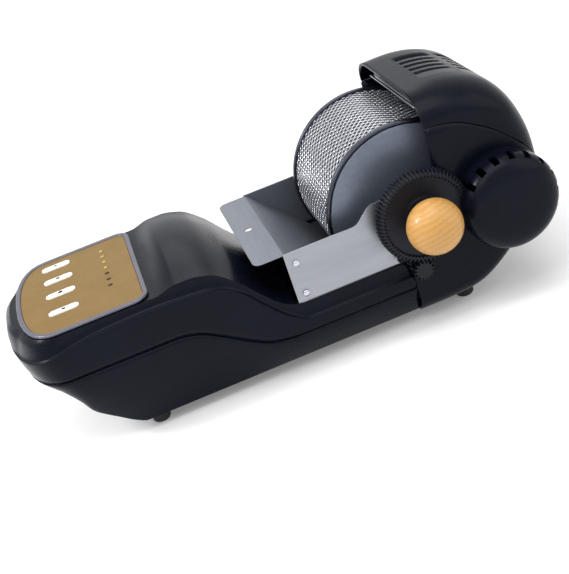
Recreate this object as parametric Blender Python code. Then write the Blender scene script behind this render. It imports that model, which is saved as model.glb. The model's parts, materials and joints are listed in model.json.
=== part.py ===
"""Home coffee bean roaster: a long low body with a keypad, a steel trough, a mesh drum and a hinged hood.

Metres, +Z up. The shapes are modelled about the middle of the drum, and one empty carries them all,
so that the origin lies on the table, in the middle of the whole outline. The user stands on the -Y side.
"""
import math

import bmesh
import bpy
import numpy as np
from mathutils import Matrix, Vector

# Driving dimensions, in metres, from the middle of the drum
FIT_GAP = 0.0003
RUN_GAP = 0.0004
CUT_OVERRUN = 0.004
DRUM_RADIUS = 0.070
DRUM_LENGTH = 0.112
SIDE_ROOM = 0.026
CASE_HALF_WIDTH = DRUM_LENGTH / 2.0 + SIDE_ROOM
CASE_WALL = 0.0026
FLOOR_ROOM = 0.022
CASE_BOTTOM = -DRUM_RADIUS - FLOOR_ROOM
FOOT_HEIGHT = 0.010
AXIS_HEIGHT = FOOT_HEIGHT - CASE_BOTTOM
CASE_HEIGHT = 0.123
NOSE_X = -0.346
NOSE_LENGTH = 0.040
FRONT_END_X = -0.020
TAIL_ROUNDING = 0.036
FLAT = 0.0

# Steel side plates and the trough between them
PLATE_SETBACK = 0.0065
PLATE_OUTER_Y = CASE_HALF_WIDTH - PLATE_SETBACK
PLATE_THICKNESS = 0.0012
PLATE_FRONT_ROOM = 0.048
PLATE_FRONT_X = -DRUM_RADIUS - PLATE_FRONT_ROOM
PLATE_REAR_X = 0.034
PLATE_LOW_Z = -0.060
PLATE_TOP_Z = 0.008
PLATE_CREST_Z = 0.021
PLATE_STEP_X = -0.056
PLATE_STEP_LENGTH = 0.020
SHEET = 0.0010
LIP_OVERHANG = 0.025
LIP_X = PLATE_FRONT_X - LIP_OVERHANG
LIP_LENGTH = 0.028
LIP_Z = 0.0075
LIP_CORNER = 0.007
LIP_DIMPLE_RADIUS = 0.0032
TROUGH_CLEARANCE = 0.0075

# Drum, its end plates, axle, gear and knob
DRUM_WALL = 0.0010
MESH_COLUMNS = 26
MESH_ROWS = 5
MESH_BAR = 0.0036
RIM_WIDTH = 0.0050
RIM_THICKNESS = 0.0022
END_PLATE_THICKNESS = 0.0012
AXLE_RADIUS = 0.005
AXLE_FAR_LENGTH = 0.004
VANE_COUNT = 3
VANE_HEIGHT = 0.012
VANE_THICKNESS = 0.0012
DRUM_SIDES = 48
GEAR_TEETH = 70
PINION_TEETH = 14
GEAR_MODULE = 0.00113
GEAR_FACE = 0.009
GEAR_GAP = 0.0016
GEAR_CHAMFER = 0.0016
GEAR_RIM = 0.0055
MESH_PLAY = 0.00035
PINION_ANGLE = math.radians(-105.0)
KNOB_RADIUS = 0.0232
KNOB_REACH = 0.0205
KNOB_NECK_RADIUS = 0.0112
KNOB_NECK_LENGTH = 0.006
BUSH_RADIUS = 0.009
BUSH_LENGTH = 0.0045

# Heater behind the drum, and the rear wall behind the heater
HEATER_RADIUS = 0.0035
HEATER_OVERHANG = 0.0055
HEATER_HALF_LENGTH = DRUM_LENGTH / 2.0 + HEATER_OVERHANG
HEATER_ROOM = 0.013
HEATER_CIRCLE = DRUM_RADIUS + HEATER_ROOM
HEATER_COUNT = 3
HEATER_FIRST = math.radians(-4.0)
HEATER_STEP = math.radians(-13.0)
HOLDER_THICKNESS = 0.005
REFLECTOR_ROOM = 0.010
REFLECTOR_RADIUS = HEATER_CIRCLE + REFLECTOR_ROOM
WALL_ROOM = 0.019
TAIL_LENGTH = REFLECTOR_RADIUS + WALL_ROOM

# Hood hinge
HINGE_REACH = 0.0050
HINGE_X = TAIL_LENGTH + HINGE_REACH
HINGE_Z = 0.0040
KNUCKLE_RADIUS = 0.0038
HINGE_PIN_RADIUS = 0.0015
HOOD_KNUCKLE_LENGTH = 0.040
CASE_KNUCKLE_LENGTH = 0.014
HINGE_ARM = 0.0030
VENT_WIDTH = 0.0030
VENT_PITCH = 0.0120
VENT_COUNT = 5
VENT_FRONT_SHARE = 0.366
VENT_LENGTH_SHARE = 0.268
VENT_FRONT_X = TAIL_LENGTH * VENT_FRONT_SHARE
VENT_LENGTH = TAIL_LENGTH * VENT_LENGTH_SHARE
VENT_RIDGE = 0.007

# Blower pod on the near wall
POD_X = 0.071
POD_Z = -0.012
POD_RADIUS = 0.0412
POD_WALL = 0.0025
POD_SIDE = 0.0245
POD_DOME = 0.0068
POD_SLOTS = 18
POD_SLOT_WIDTH = 0.0040
POD_SLOT_LENGTH = 0.010
IMPELLER_RADIUS = 0.0255
IMPELLER_WIDTH = 0.013
IMPELLER_BLADES = 9
BLADE_THICKNESS = 0.0012
MOTOR_SHAFT_RADIUS = 0.002
BLOWER_MOTOR_RADIUS = 0.014
BLOWER_MOTOR_LENGTH = 0.016
DRIVE_MOTOR_RADIUS = 0.020
DRIVE_MOTOR_LENGTH = 0.0145

# Liner and grille under the hood
LINER_ROOM = 0.010
LINER_RADIUS = DRUM_RADIUS + LINER_ROOM
LINER_FIRST = math.radians(34.0)
LINER_LAST = math.radians(72.0)
LINER_OVERHANG = 0.004
LINER_HALF_WIDTH = DRUM_LENGTH / 2.0 + LINER_OVERHANG
POST_SHARE = 0.43
POST_X = TAIL_LENGTH * POST_SHARE
POST_RADIUS = 0.004
GRILLE_X = 0.0255
GRILLE_HEIGHT = 0.0105
GRILLE_SETBACK = 0.001
GRILLE_HALF_WIDTH = CASE_HALF_WIDTH - TAIL_ROUNDING - GRILLE_SETBACK
GRILLE_BAR = 0.0016
GRILLE_COLUMNS = 14

# Control panel
PANEL_NOSE_SETBACK = 0.0075
PANEL_NOSE_X = NOSE_X + PANEL_NOSE_SETBACK
PANEL_LENGTH = 0.1095
PANEL_REAR_X = PANEL_NOSE_X + PANEL_LENGTH
PANEL_SETBACK = 0.0065
PANEL_HALF_WIDTH = CASE_HALF_WIDTH - PANEL_SETBACK
PANEL_NOSE_LENGTH = 0.031
PANEL_CORNER = 0.013
BEZEL_WIDTH = 0.0042
BEZEL_HEIGHT = 0.0026
OVERLAY_THICKNESS = 0.0016
BUTTON_LENGTH = 0.0265
BUTTON_WIDTH = 0.0088
BUTTON_SETBACK = 0.040
BUTTON_X = PANEL_NOSE_X + BUTTON_SETBACK
BUTTON_PLACE_SHARES = (0.735, 0.358, -0.040, -0.490)
BUTTON_Y = tuple(PANEL_HALF_WIDTH * share for share in BUTTON_PLACE_SHARES)
BUTTON_PROUD = 0.0012
BUTTON_TRAVEL = 0.0010
LED_RADIUS = 0.0018
LED_SETBACK = 0.0275
LED_X = PANEL_REAR_X - LED_SETBACK
LED_FIRST_SHARE = 0.675
LED_PITCH_SHARE = 0.167
LED_FIRST_Y = PANEL_HALF_WIDTH * LED_FIRST_SHARE
LED_PITCH = PANEL_HALF_WIDTH * LED_PITCH_SHARE
LED_COUNT = 7
LED_PROUD = 0.0004
BOARD_DROP = 0.012
BOARD_THICKNESS = 0.0016
BOARD_SETBACK = 0.0095
BOARD_HALF_WIDTH = PANEL_HALF_WIDTH - BOARD_SETBACK
PILLAR_RADIUS = 0.003

# Feet, screws and the cable gland
FOOT_RADIUS = 0.008
FOOT_FRONT_X = -0.259
FOOT_REAR_X = 0.026
FOOT_SETBACK = 0.028
FOOT_Y = CASE_HALF_WIDTH - FOOT_SETBACK
SCREW_RADIUS = 0.0030
SCREW_HEIGHT = 0.0016
PLATE_SCREW_SETBACK = 0.0085
PLATE_SCREW_X = PLATE_FRONT_X + PLATE_SCREW_SETBACK
PLATE_SCREW_LIFT = 0.0064
PLATE_SCREW_PITCH = 0.0285
GLAND_RADIUS = 0.0065
GLAND_LENGTH = 0.006
GLAND_BORE = 0.0032
GLAND_X = 0.064
GLAND_Z = -0.045

SIDES = 32

# Side outline of the rear body and hood, in shares of the tail's length and of the axis height
START_SHARE = (FRONT_END_X + FIT_GAP) / TAIL_LENGTH
FLOOR_SHARE = CASE_BOTTOM / AXIS_HEIGHT
TAIL_BOTTOM_SHARES = ((START_SHARE, FLOOR_SHARE), (0.312, FLOOR_SHARE), (0.56, -0.745), (0.80, -0.510),
                      (0.955, -0.216), (1.0, 0.045))
TAIL_TOP_SHARES = ((0.992, 0.30), (0.935, 0.54), (0.85, 0.70), (0.74, 0.80), (0.59, 0.872), (0.40, 0.907),
                   (0.180, 0.902))
# Rounding from each point of that line to the flank: its width and its depth over its width, as shares
BOTTOM_ROUND_SHARES = ((0.50, 1.00), (0.50, 1.00), (0.50, 1.00), (0.50, 1.00), (0.50, 1.00), (0.54, 0.96))
TOP_ROUND_SHARES = ((0.68, 0.82), (0.86, 0.71), (1.00, 0.65), (1.00, 0.65), (1.00, 0.65), (1.00, 0.65),
                    (1.00, 0.65))
FRONT_ROUND_SHARES = ((1.00, 1.00),) + ((0.50, 1.00),) * 6
TAIL_FRONT_SHARES = ((0.180, 0.60), (0.180, 0.32), (0.062, 0.13), (-0.062, 0.02), (-0.275, -0.32),
                     (-0.260, -0.362),
                     (START_SHARE, -0.365))
PARTING_SHARES = ((0.10, 0.665), (0.23, 0.660), (0.39, 0.627), (0.59, 0.510), (0.70, 0.421), (0.885, 0.206),
                  (0.965, 0.085), (1.10, 0.052))

# Front body, in shares of its length behind the nose, and of the case height above its bottom
FRONT_LENGTH = FRONT_END_X - NOSE_X
CENTRE_LINE_SHARES = ((0.0, 0.882), (0.37, 0.882), (0.395, 0.935), (0.425, 0.985), (0.46, 0.985),
                      (0.515, 0.945),
                      (0.57, 0.835), (0.62, 0.680), (0.67, 0.510), (0.715, 0.440), (1.0, 0.440))
SHOULDER_LINE_SHARES = ((0.0, 0.882), (0.37, 0.882), (0.425, 0.915), (0.46, 0.915), (0.515, 0.880),
                        (0.57, 0.765), (0.62, 0.600), (0.67, 0.470), (0.715, 0.430), (1.0, 0.430))
EDGE_LINE_SHARES = ((0.0, 0.735), (0.10, 0.770), (0.22, 0.815), (0.35, 0.825), (0.47, 0.810), (0.52, 0.780),
                    (0.57, 0.690), (0.62, 0.530), (0.67, 0.390), (0.715, 0.325), (1.0, 0.325))
PARTING_LINE_SHARES = ((0.0, 0.560), (0.38, 0.555), (0.43, 0.530), (0.49, 0.440), (0.55, 0.330),
                       (0.61, 0.250),
                       (0.67, 0.230), (1.0, 0.230))
KEEL_LINE_SHARES = ((0.0, 0.480), (0.03, 0.430), (0.06, 0.360), (0.092, 0.290), (0.13, 0.195), (0.17, 0.110),
                    (0.21, 0.030), (0.235, 0.0), (1.0, 0.0))
STATION_SHARES = (0.0, 0.012, 0.03, 0.055, 0.085, 0.12, 0.17, 0.23, 0.30, 0.365, 0.395, 0.425, 0.46, 0.50,
                  0.53,
                  0.56, 0.59, 0.62, 0.645, 0.67, 0.695, 0.72, 1.0)
BOTTOM_INSET = 0.014
SHOULDER_INSET = 0.0055
BILGE_SHARE = 0.45

# Where the whole outline lies, and the flat that carries the panel
PANEL_SEAT_Z = CASE_BOTTOM + CASE_HEIGHT * CENTRE_LINE_SHARES[0][1]
BOARD_Z = PANEL_SEAT_Z - BOARD_DROP
DECK_Z = CASE_BOTTOM + CASE_HEIGHT * CENTRE_LINE_SHARES[-1][1]
PLATE_SCREW_Z = (DECK_Z + PLATE_SCREW_LIFT + PLATE_SCREW_PITCH, DECK_Z + PLATE_SCREW_LIFT)
BOX_LOW_X = NOSE_X
BOX_HIGH_X = HINGE_X + KNUCKLE_RADIUS
BOX_HIGH_Y = CASE_HALF_WIDTH + FIT_GAP + GLAND_LENGTH
GEAR_BACK_Y = -CASE_HALF_WIDTH - GEAR_GAP
GEAR_FRONT_Y = GEAR_BACK_Y - GEAR_FACE
KNOB_END_Y = GEAR_FRONT_Y - KNOB_NECK_LENGTH - 2.0 * KNOB_REACH + KNOB_NECK_RADIUS * 0.5
ORIGIN = Vector((-(BOX_LOW_X + BOX_HIGH_X) / 2.0, -(KNOB_END_Y + BOX_HIGH_Y) / 2.0, AXIS_HEIGHT))


def clear_scene():
    """Removes what the file holds, so the part is built alone."""
    for item in list(bpy.data.objects):
        bpy.data.objects.remove(item, do_unlink=True)


def finish(name, colour, roughness, metallic=0.0):
    """One Principled material."""
    made = bpy.data.materials.new(name)
    made.use_nodes = True
    shader = made.node_tree.nodes["Principled BSDF"]
    shader.inputs["Base Color"].default_value = (*colour, 1.0)
    shader.inputs["Roughness"].default_value = roughness
    shader.inputs["Metallic"].default_value = metallic
    made.diffuse_color = (*colour, 1.0)
    return made


def empty_at(name, place, parent=None):
    """An empty that marks a frame or a joint's axis, at a place under its parent."""
    made = bpy.data.objects.new(name, None)
    bpy.context.scene.collection.objects.link(made)
    made.location = place
    made.parent = parent
    return made


def mesh_object(name, points, faces, material, parent):
    """A closed mesh, with the points given about the drum's middle and the origin on the parent."""
    mesh = bpy.data.meshes.new(name)
    mesh.from_pydata([tuple(point) for point in points], [], faces)
    skin = bmesh.new()
    skin.from_mesh(mesh)
    bmesh.ops.remove_doubles(skin, verts=skin.verts, dist=FIT_GAP / 100.0)
    bmesh.ops.recalc_face_normals(skin, faces=skin.faces)
    skin.to_mesh(mesh)
    skin.free()
    made = bpy.data.objects.new(name, mesh)
    bpy.context.scene.collection.objects.link(made)
    mesh.materials.append(material)
    mesh.shade_smooth()
    mesh.set_sharp_from_angle(angle=math.radians(32.0))
    place = parent.location if parent.parent else Vector((0.0, 0.0, 0.0))
    mesh.transform(Matrix.Translation(-place))
    made.parent = parent
    return made


def boolean(target, tool, operation="DIFFERENCE"):
    """Cuts, joins or intersects with a tool object, keeps the result in the mesh and drops the tool."""
    change = target.modifiers.new("cut", "BOOLEAN")
    change.operation = operation
    change.solver = "EXACT"
    change.object = tool
    bpy.context.view_layer.update()
    graph = bpy.context.evaluated_depsgraph_get()
    fresh = bpy.data.meshes.new_from_object(target.evaluated_get(graph))
    target.modifiers.clear()
    material = target.data.materials[0]
    target.data = fresh
    fresh.materials.clear()
    fresh.materials.append(material)
    fresh.shade_smooth()
    fresh.set_sharp_from_angle(angle=math.radians(32.0))
    bpy.data.objects.remove(tool, do_unlink=True)
    return target


def loft(name, rings, material, parent):
    """Skins equal rings of points one after the other, and closes both ends."""
    count = len(rings[0])
    points = [point for ring in rings for point in ring]
    faces = [tuple(range(count)), tuple((len(rings) - 1) * count + index for index in range(count))]
    for step in range(len(rings) - 1):
        for index in range(count):
            after = (index + 1) % count
            faces.append((step * count + index, step * count + after, (step + 1) * count + after,
                          (step + 1) * count + index))
    return mesh_object(name, points, faces, material, parent)


def side_outline(name, outline, low_y, high_y, material, parent):
    """An outline in X and Z, extruded along Y."""
    rings = [[(x, y, z) for x, z in outline] for y in (low_y, high_y)]
    return loft(name, rings, material, parent)


def plan_outline(name, outline, low_z, high_z, material, parent):
    """An outline in X and Y, extruded along Z."""
    rings = [[(x, y, z) for x, y in outline] for z in (low_z, high_z)]
    return loft(name, rings, material, parent)


def block(name, x, y, z, material, parent):
    """A box from its low and high values along each axis."""
    return side_outline(name, [(x[0], z[0]), (x[1], z[0]), (x[1], z[1]), (x[0], z[1])], y[0], y[1], material,
                        parent)


def ring_points(radius, height, sides, centre=(0.0, 0.0)):
    """Points of a circle about an axis along Y."""
    turns = [2.0 * math.pi * index / sides for index in range(sides)]
    return [(centre[0] + radius * math.cos(turn), height, centre[1] + radius * math.sin(turn))
            for turn in turns]


def turned(name, profile, material, parent, centre=(0.0, 0.0), sides=SIDES):
    """A solid turned about an axis along Y, from (radius, y) pairs with both ends closed."""
    return loft(name, [ring_points(radius, y, sides, centre) for radius, y in profile], material, parent)


def tube(name, outer, inner, low_y, high_y, material, parent, centre=(0.0, 0.0), sides=SIDES):
    """A ring with a round bore, its axis along Y."""
    rings = [ring_points(outer, low_y, sides, centre), ring_points(outer, high_y, sides, centre),
             ring_points(inner, high_y, sides, centre), ring_points(inner, low_y, sides, centre)]
    points = [point for ring in rings for point in ring]
    faces = []
    for step in range(len(rings)):
        following = (step + 1) % len(rings)
        for index in range(sides):
            after = (index + 1) % sides
            faces.append((step * sides + index, step * sides + after, following * sides + after,
                          following * sides + index))
    return mesh_object(name, points, faces, material, parent)


def smooth_line(shares, place):
    """Reads a smooth curve through (place, value) shares, with no overshoot between level pairs."""
    places = np.array([share[0] for share in shares])
    values = np.array([share[1] for share in shares])
    slopes = np.diff(values) / np.diff(places)
    tangents = np.zeros(len(values))
    for index in range(1, len(values) - 1):
        before, after = slopes[index - 1], slopes[index]
        tangents[index] = 0.0 if before * after <= 0.0 else 2.0 * before * after / (before + after)
    index = int(np.clip(np.searchsorted(places, place) - 1, 0, len(places) - 2))
    width = places[index + 1] - places[index]
    part = (np.clip(place, places[0], places[-1]) - places[index]) / width
    rest = 1.0 - part
    start = (1.0 + 2.0 * part) * rest ** 2 * values[index] + part * rest ** 2 * width * tangents[index]
    stop = part ** 2 * (3.0 - 2.0 * part) * values[index + 1] - part ** 2 * rest * width * tangents[index + 1]
    return start + stop


def front_height(shares, share):
    """Height of one of the front body's lines at a share of its length."""
    return CASE_BOTTOM + CASE_HEIGHT * float(smooth_line(shares, share))


def front_half_width(x):
    """Half width of the front body in plan: straight sides and a rounded nose."""
    depth = max((NOSE_X + NOSE_LENGTH - x) / NOSE_LENGTH, 0.0)
    return CASE_HALF_WIDTH * (1.0 - min(depth, 1.0) ** 2.3) ** (1.0 / 2.3)


def mirrored(half):
    """A whole section from its points on the +Y side, top middle first."""
    return half + [(-y, z) for y, z in reversed(half) if y != 0.0]


def front_section(share, inset, upper, overrun=FLAT):
    """Points of one section of the upper or lower casing, drawn in by an inset."""
    x = NOSE_X + FRONT_LENGTH * share
    wide = front_half_width(x)
    scale = wide / CASE_HALF_WIDTH
    wide = max(wide - inset, (CASE_HALF_WIDTH - inset) * 0.02)
    parting = front_height(PARTING_LINE_SHARES, share)
    if upper:
        top = front_height(CENTRE_LINE_SHARES, share) - inset
        shoulder = front_height(SHOULDER_LINE_SHARES, share) - inset
        edge = min(front_height(EDGE_LINE_SHARES, share) - inset * 0.5, shoulder - inset * 0.5)
        half = [(0.0, top), (wide * 0.62, shoulder + (top - shoulder) * 0.55),
                (wide - SHOULDER_INSET * scale, shoulder),
                (wide, edge), (wide, parting + FIT_GAP / 2.0 - overrun)]
    else:
        keel = front_height(KEEL_LINE_SHARES, share) + inset
        bilge = keel + (parting - keel) * BILGE_SHARE
        low = max(wide - BOTTOM_INSET * scale, wide * 0.5)
        half = [(wide, parting - FIT_GAP / 2.0 + overrun), (wide - BOTTOM_INSET * scale * 0.30, bilge),
                (low, keel)]
        return [(x, y, z) for y, z in half + [(-y, z) for y, z in reversed(half)]]
    return [(x, y, z) for y, z in mirrored(half)]


def front_shell(name, upper, material, parent):
    """The upper or lower casing of the front body, as a shell with an open parting side and rear end."""
    outer = loft(name, [front_section(share, 0.0, upper) for share in STATION_SHARES], material, parent)
    rings = [front_section(share, CASE_WALL, upper, CUT_OVERRUN) for share in STATION_SHARES]
    first_x = NOSE_X + CASE_WALL
    rings[0] = [(first_x, y, z) for _, y, z in rings[0]]
    rings[1] = [(max(x, first_x + FIT_GAP), y, z) for x, y, z in rings[1]]
    rings[-1] = [(x + CUT_OVERRUN, y, z) for x, y, z in rings[-1]]
    return boolean(outer, loft(name + "_hollow", rings, material, parent))


def rounded_panel(inset):
    """Plan outline of the control panel: a round nose, straight sides and small rear corners."""
    half = PANEL_HALF_WIDTH - inset
    nose = PANEL_NOSE_LENGTH - inset
    points = []
    for step in range(17):
        turn = math.pi / 2.0 + math.pi * step / 16.0
        across = math.copysign(abs(math.sin(turn)) ** (2.0 / 2.4), math.sin(turn))
        along = abs(math.cos(turn)) ** (2.0 / 2.4)
        points.append((PANEL_NOSE_X + PANEL_NOSE_LENGTH - nose * along, half * across))
    corner = PANEL_CORNER - inset
    for side, first in ((-1.0, -math.pi / 2.0), (1.0, 0.0)):
        for step in range(5):
            turn = first + math.pi / 2.0 * step / 4.0
            points.append((PANEL_REAR_X - inset - corner + corner * math.cos(turn),
                           side * (half - corner) + corner * math.sin(turn)))
    return points


def oval(centre_x, centre_y, length, width):
    """Plan outline of a slot with round ends, its length along X."""
    points = []
    for side, first in ((1.0, -math.pi / 2.0), (-1.0, math.pi / 2.0)):
        for step in range(7):
            turn = first + math.pi * step / 6.0
            points.append((centre_x + side * (length - width) / 2.0 + width / 2.0 * math.cos(turn),
                           centre_y + width / 2.0 * math.sin(turn)))
    return points


def disc_outline(centre_x, centre_y, radius, sides=12):
    """Plan outline of a circle."""
    turns = [2.0 * math.pi * index / sides for index in range(sides)]
    return [(centre_x + radius * math.cos(turn), centre_y + radius * math.sin(turn)) for turn in turns]


def inward(outline, distances):
    """Moves each point of an anticlockwise outline inwards by its distance, square to its neighbours."""
    moved = []
    for index, (point, distance) in enumerate(zip(outline, distances)):
        before = Vector(point) - Vector(outline[index - 1])
        after = Vector(outline[(index + 1) % len(outline)]) - Vector(point)
        first = Vector((-before.y, before.x)).normalized()
        second = Vector((-after.y, after.x)).normalized()
        middle = (first + second).normalized()
        moved.append(tuple(Vector(point) + middle * (distance / max(middle.dot(first), 0.5))))
    return moved


def tail_outline():
    """Side outline of the rear body with its hood, anticlockwise from the bottom front corner."""
    shares = TAIL_BOTTOM_SHARES + TAIL_TOP_SHARES + TAIL_FRONT_SHARES
    return [(TAIL_LENGTH * along, AXIS_HEIGHT * up) for along, up in shares]


def tail_block(name, inset, open_front, material, parent):
    """The rear body and hood as one block with rounded flanks, drawn in at the back and flanks."""
    outline = tail_outline()
    half = CASE_HALF_WIDTH - inset
    rounds = BOTTOM_ROUND_SHARES + TOP_ROUND_SHARES
    back_count = len(rounds)
    rounds += FRONT_ROUND_SHARES
    widths = [TAIL_ROUNDING * wide - inset for wide, _ in rounds]
    depths = [width * deep for width, (_, deep) in zip(widths, rounds)]
    flank = []
    for step in range(7):
        turn = math.pi / 2.0 * step / 6.0
        drawn = inward(outline, [inset + depth * (1.0 - math.cos(turn)) for depth in depths])
        ring = []
        for index, point in enumerate(outline):
            in_front = index in (0, back_count - 1) or index >= back_count
            x = point[0] - open_front if in_front else drawn[index][0]
            z = point[1] if index >= back_count else drawn[index][1]
            ring.append((x, half - widths[index] * (1.0 - math.sin(turn)), z))
        flank.append(ring)
    near = [[(x, -y, z) for x, y, z in ring] for ring in reversed(flank)]
    return loft(name, near + flank, material, parent)


def above_parting(name, shift, material, parent):
    """Everything above the line where the hood meets the rear body."""
    line = [(TAIL_LENGTH * along, AXIS_HEIGHT * up + shift) for along, up in PARTING_SHARES]
    reach = 2.0 * CASE_HALF_WIDTH
    outline = [(line[0][0] - reach, line[0][1])] + line + [(line[-1][0] + reach, line[-1][1]),
               (line[-1][0] + reach, line[0][1] + reach), (line[0][0] - reach, line[0][1] + reach)]
    return side_outline(name, outline, -reach, reach, material, parent)


def gear_outline(teeth, module, thin, phase):
    """Tooth outline of a spur gear with straight flanks, thinned for play, as X and Z about its axis."""
    pitch_radius = teeth * module / 2.0
    points = []
    for tooth in range(teeth):
        middle = phase + 2.0 * math.pi * tooth / teeth
        quarter = math.pi / (2.0 * teeth) - thin / pitch_radius / 2.0
        for radius, spread in ((pitch_radius - 1.15 * module, -1.55), (pitch_radius + 0.85 * module, -0.50),
                               (pitch_radius + 0.85 * module, 0.50), (pitch_radius - 1.15 * module, 1.55)):
            turn = middle + quarter * spread
            points.append((radius * math.cos(turn), radius * math.sin(turn)))
    return points


def shifted(outline, place):
    """An outline moved to a place in X and Z."""
    return [(x + place[0], z + place[1]) for x, z in outline]


FINISHES = {
    "black_plastic": ((0.012, 0.013, 0.020), 0.38, 0.0),
    "black_gear": ((0.014, 0.014, 0.018), 0.45, 0.0),
    "brushed_steel": ((0.46, 0.47, 0.49), 0.32, 1.0),
    "dark_steel": ((0.13, 0.14, 0.17), 0.38, 1.0),
    "bright_steel": ((0.62, 0.62, 0.64), 0.25, 1.0),
    "gold_panel": ((0.25, 0.16, 0.045), 0.40, 0.3),
    "silver_bezel": ((0.20, 0.20, 0.24), 0.35, 0.5),
    "white_plastic": ((0.82, 0.81, 0.76), 0.40, 0.0),
    "amber_lens": ((0.75, 0.50, 0.02), 0.25, 0.0),
    "red_lens": ((0.12, 0.02, 0.01), 0.25, 0.0),
    "beech_wood": ((0.62, 0.38, 0.14), 0.45, 0.0),
    "circuit_green": ((0.02, 0.12, 0.05), 0.55, 0.0),
    "ceramic": ((0.75, 0.72, 0.65), 0.70, 0.0),
    "rubber": ((0.010, 0.010, 0.010), 0.80, 0.0),
    "motor_zinc": ((0.42, 0.42, 0.40), 0.40, 1.0),
}


def build_front(root, use):
    """Upper and lower casing of the console and trough, with the keypad on top."""
    upper = front_shell("upper_casing", True, use["black_plastic"], root)
    trough_half = PLATE_OUTER_Y + FIT_GAP
    cut_x = (PLATE_FRONT_X - FIT_GAP, FRONT_END_X + CUT_OVERRUN)
    cut_z = (PLATE_LOW_Z - FIT_GAP, CASE_HALF_WIDTH)
    boolean(upper, block("trough_cut", cut_x, (-trough_half, trough_half), cut_z, use["black_plastic"], root))
    lower = front_shell("lower_casing", False, use["black_plastic"], root)
    pillar_top = PANEL_SEAT_Z - CASE_WALL / 2.0
    for x in (BUTTON_X - BUTTON_LENGTH * 0.85, LED_X + BUTTON_LENGTH * 0.65):
        for side in (-1.0, 1.0):
            pillar = disc_outline(x, side * BOARD_HALF_WIDTH * (0.52 if x < BUTTON_X else 0.88),
                                  PILLAR_RADIUS)
            boolean(upper, plan_outline("pillar", pillar, BOARD_Z + BOARD_THICKNESS + FIT_GAP, pillar_top,
                                        use["black_plastic"], root), "UNION")
    bezel = plan_outline("panel_bezel", rounded_panel(0.0), PANEL_SEAT_Z + FIT_GAP,
                         PANEL_SEAT_Z + FIT_GAP + BEZEL_HEIGHT, use["silver_bezel"], root)
    boolean(bezel, plan_outline("bezel_hole", rounded_panel(BEZEL_WIDTH), PANEL_SEAT_Z - CUT_OVERRUN,
                                PANEL_SEAT_Z + CUT_OVERRUN * 2.0,
                                use["silver_bezel"], root))
    overlay_low = PANEL_SEAT_Z + FIT_GAP
    overlay_top = overlay_low + OVERLAY_THICKNESS
    overlay = plan_outline("panel_overlay", rounded_panel(BEZEL_WIDTH + FIT_GAP), overlay_low, overlay_top,
                           use["gold_panel"], root)
    cut_low, cut_high = PANEL_SEAT_Z - CASE_WALL - CUT_OVERRUN, overlay_top + CUT_OVERRUN
    button_low = BOARD_Z + BOARD_THICKNESS + BUTTON_TRAVEL + FIT_GAP * 2.0
    for index, y in enumerate(BUTTON_Y):
        for target in (upper, overlay):
            hole = oval(BUTTON_X, y, BUTTON_LENGTH + 2.0 * RUN_GAP, BUTTON_WIDTH + 2.0 * RUN_GAP)
            boolean(target, plan_outline("button_hole", hole, cut_low, cut_high, use["black_plastic"], root))
        axis = empty_at(f"button_{index + 1}_slide", (BUTTON_X, y, overlay_top), root)
        plan_outline(f"button_{index + 1}", oval(BUTTON_X, y, BUTTON_LENGTH, BUTTON_WIDTH), button_low,
                     overlay_top + BUTTON_PROUD,
                     use["white_plastic"], axis)
    for index in range(LED_COUNT):
        y = LED_FIRST_Y - LED_PITCH * index
        for target in (upper, overlay):
            boolean(target, plan_outline("led_hole", disc_outline(LED_X, y, LED_RADIUS + RUN_GAP), cut_low,
                                         cut_high, use["black_plastic"], root))
        lens = use["amber_lens"] if index < LED_COUNT // 2 + 1 else use["red_lens"]
        plan_outline(f"indicator_{index + 1}", disc_outline(LED_X, y, LED_RADIUS),
                     BOARD_Z + BOARD_THICKNESS + FIT_GAP, overlay_top + LED_PROUD,
                     lens, root)
    board = [(BUTTON_X - BUTTON_LENGTH, -BOARD_HALF_WIDTH * 0.65), (LED_X + BUTTON_LENGTH, -BOARD_HALF_WIDTH),
             (LED_X + BUTTON_LENGTH, BOARD_HALF_WIDTH), (BUTTON_X - BUTTON_LENGTH, BOARD_HALF_WIDTH * 0.65)]
    plan_outline("control_board", board, BOARD_Z, BOARD_Z + BOARD_THICKNESS, use["circuit_green"], root)
    return upper, lower


def plate_outline():
    """Side outline of a steel side plate: level, then rising in a soft step to its crest at the axle."""
    points = [(PLATE_FRONT_X, PLATE_LOW_Z), (PLATE_REAR_X, PLATE_LOW_Z), (PLATE_REAR_X, PLATE_CREST_Z)]
    for step in range(7):
        part = 1.0 - step / 6.0
        rise = part * part * (3.0 - 2.0 * part)
        points.append((PLATE_STEP_X + PLATE_STEP_LENGTH * part,
                       PLATE_TOP_Z + (PLATE_CREST_Z - PLATE_TOP_Z) * rise))
    points.append((PLATE_FRONT_X, PLATE_TOP_Z))
    return points


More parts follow.
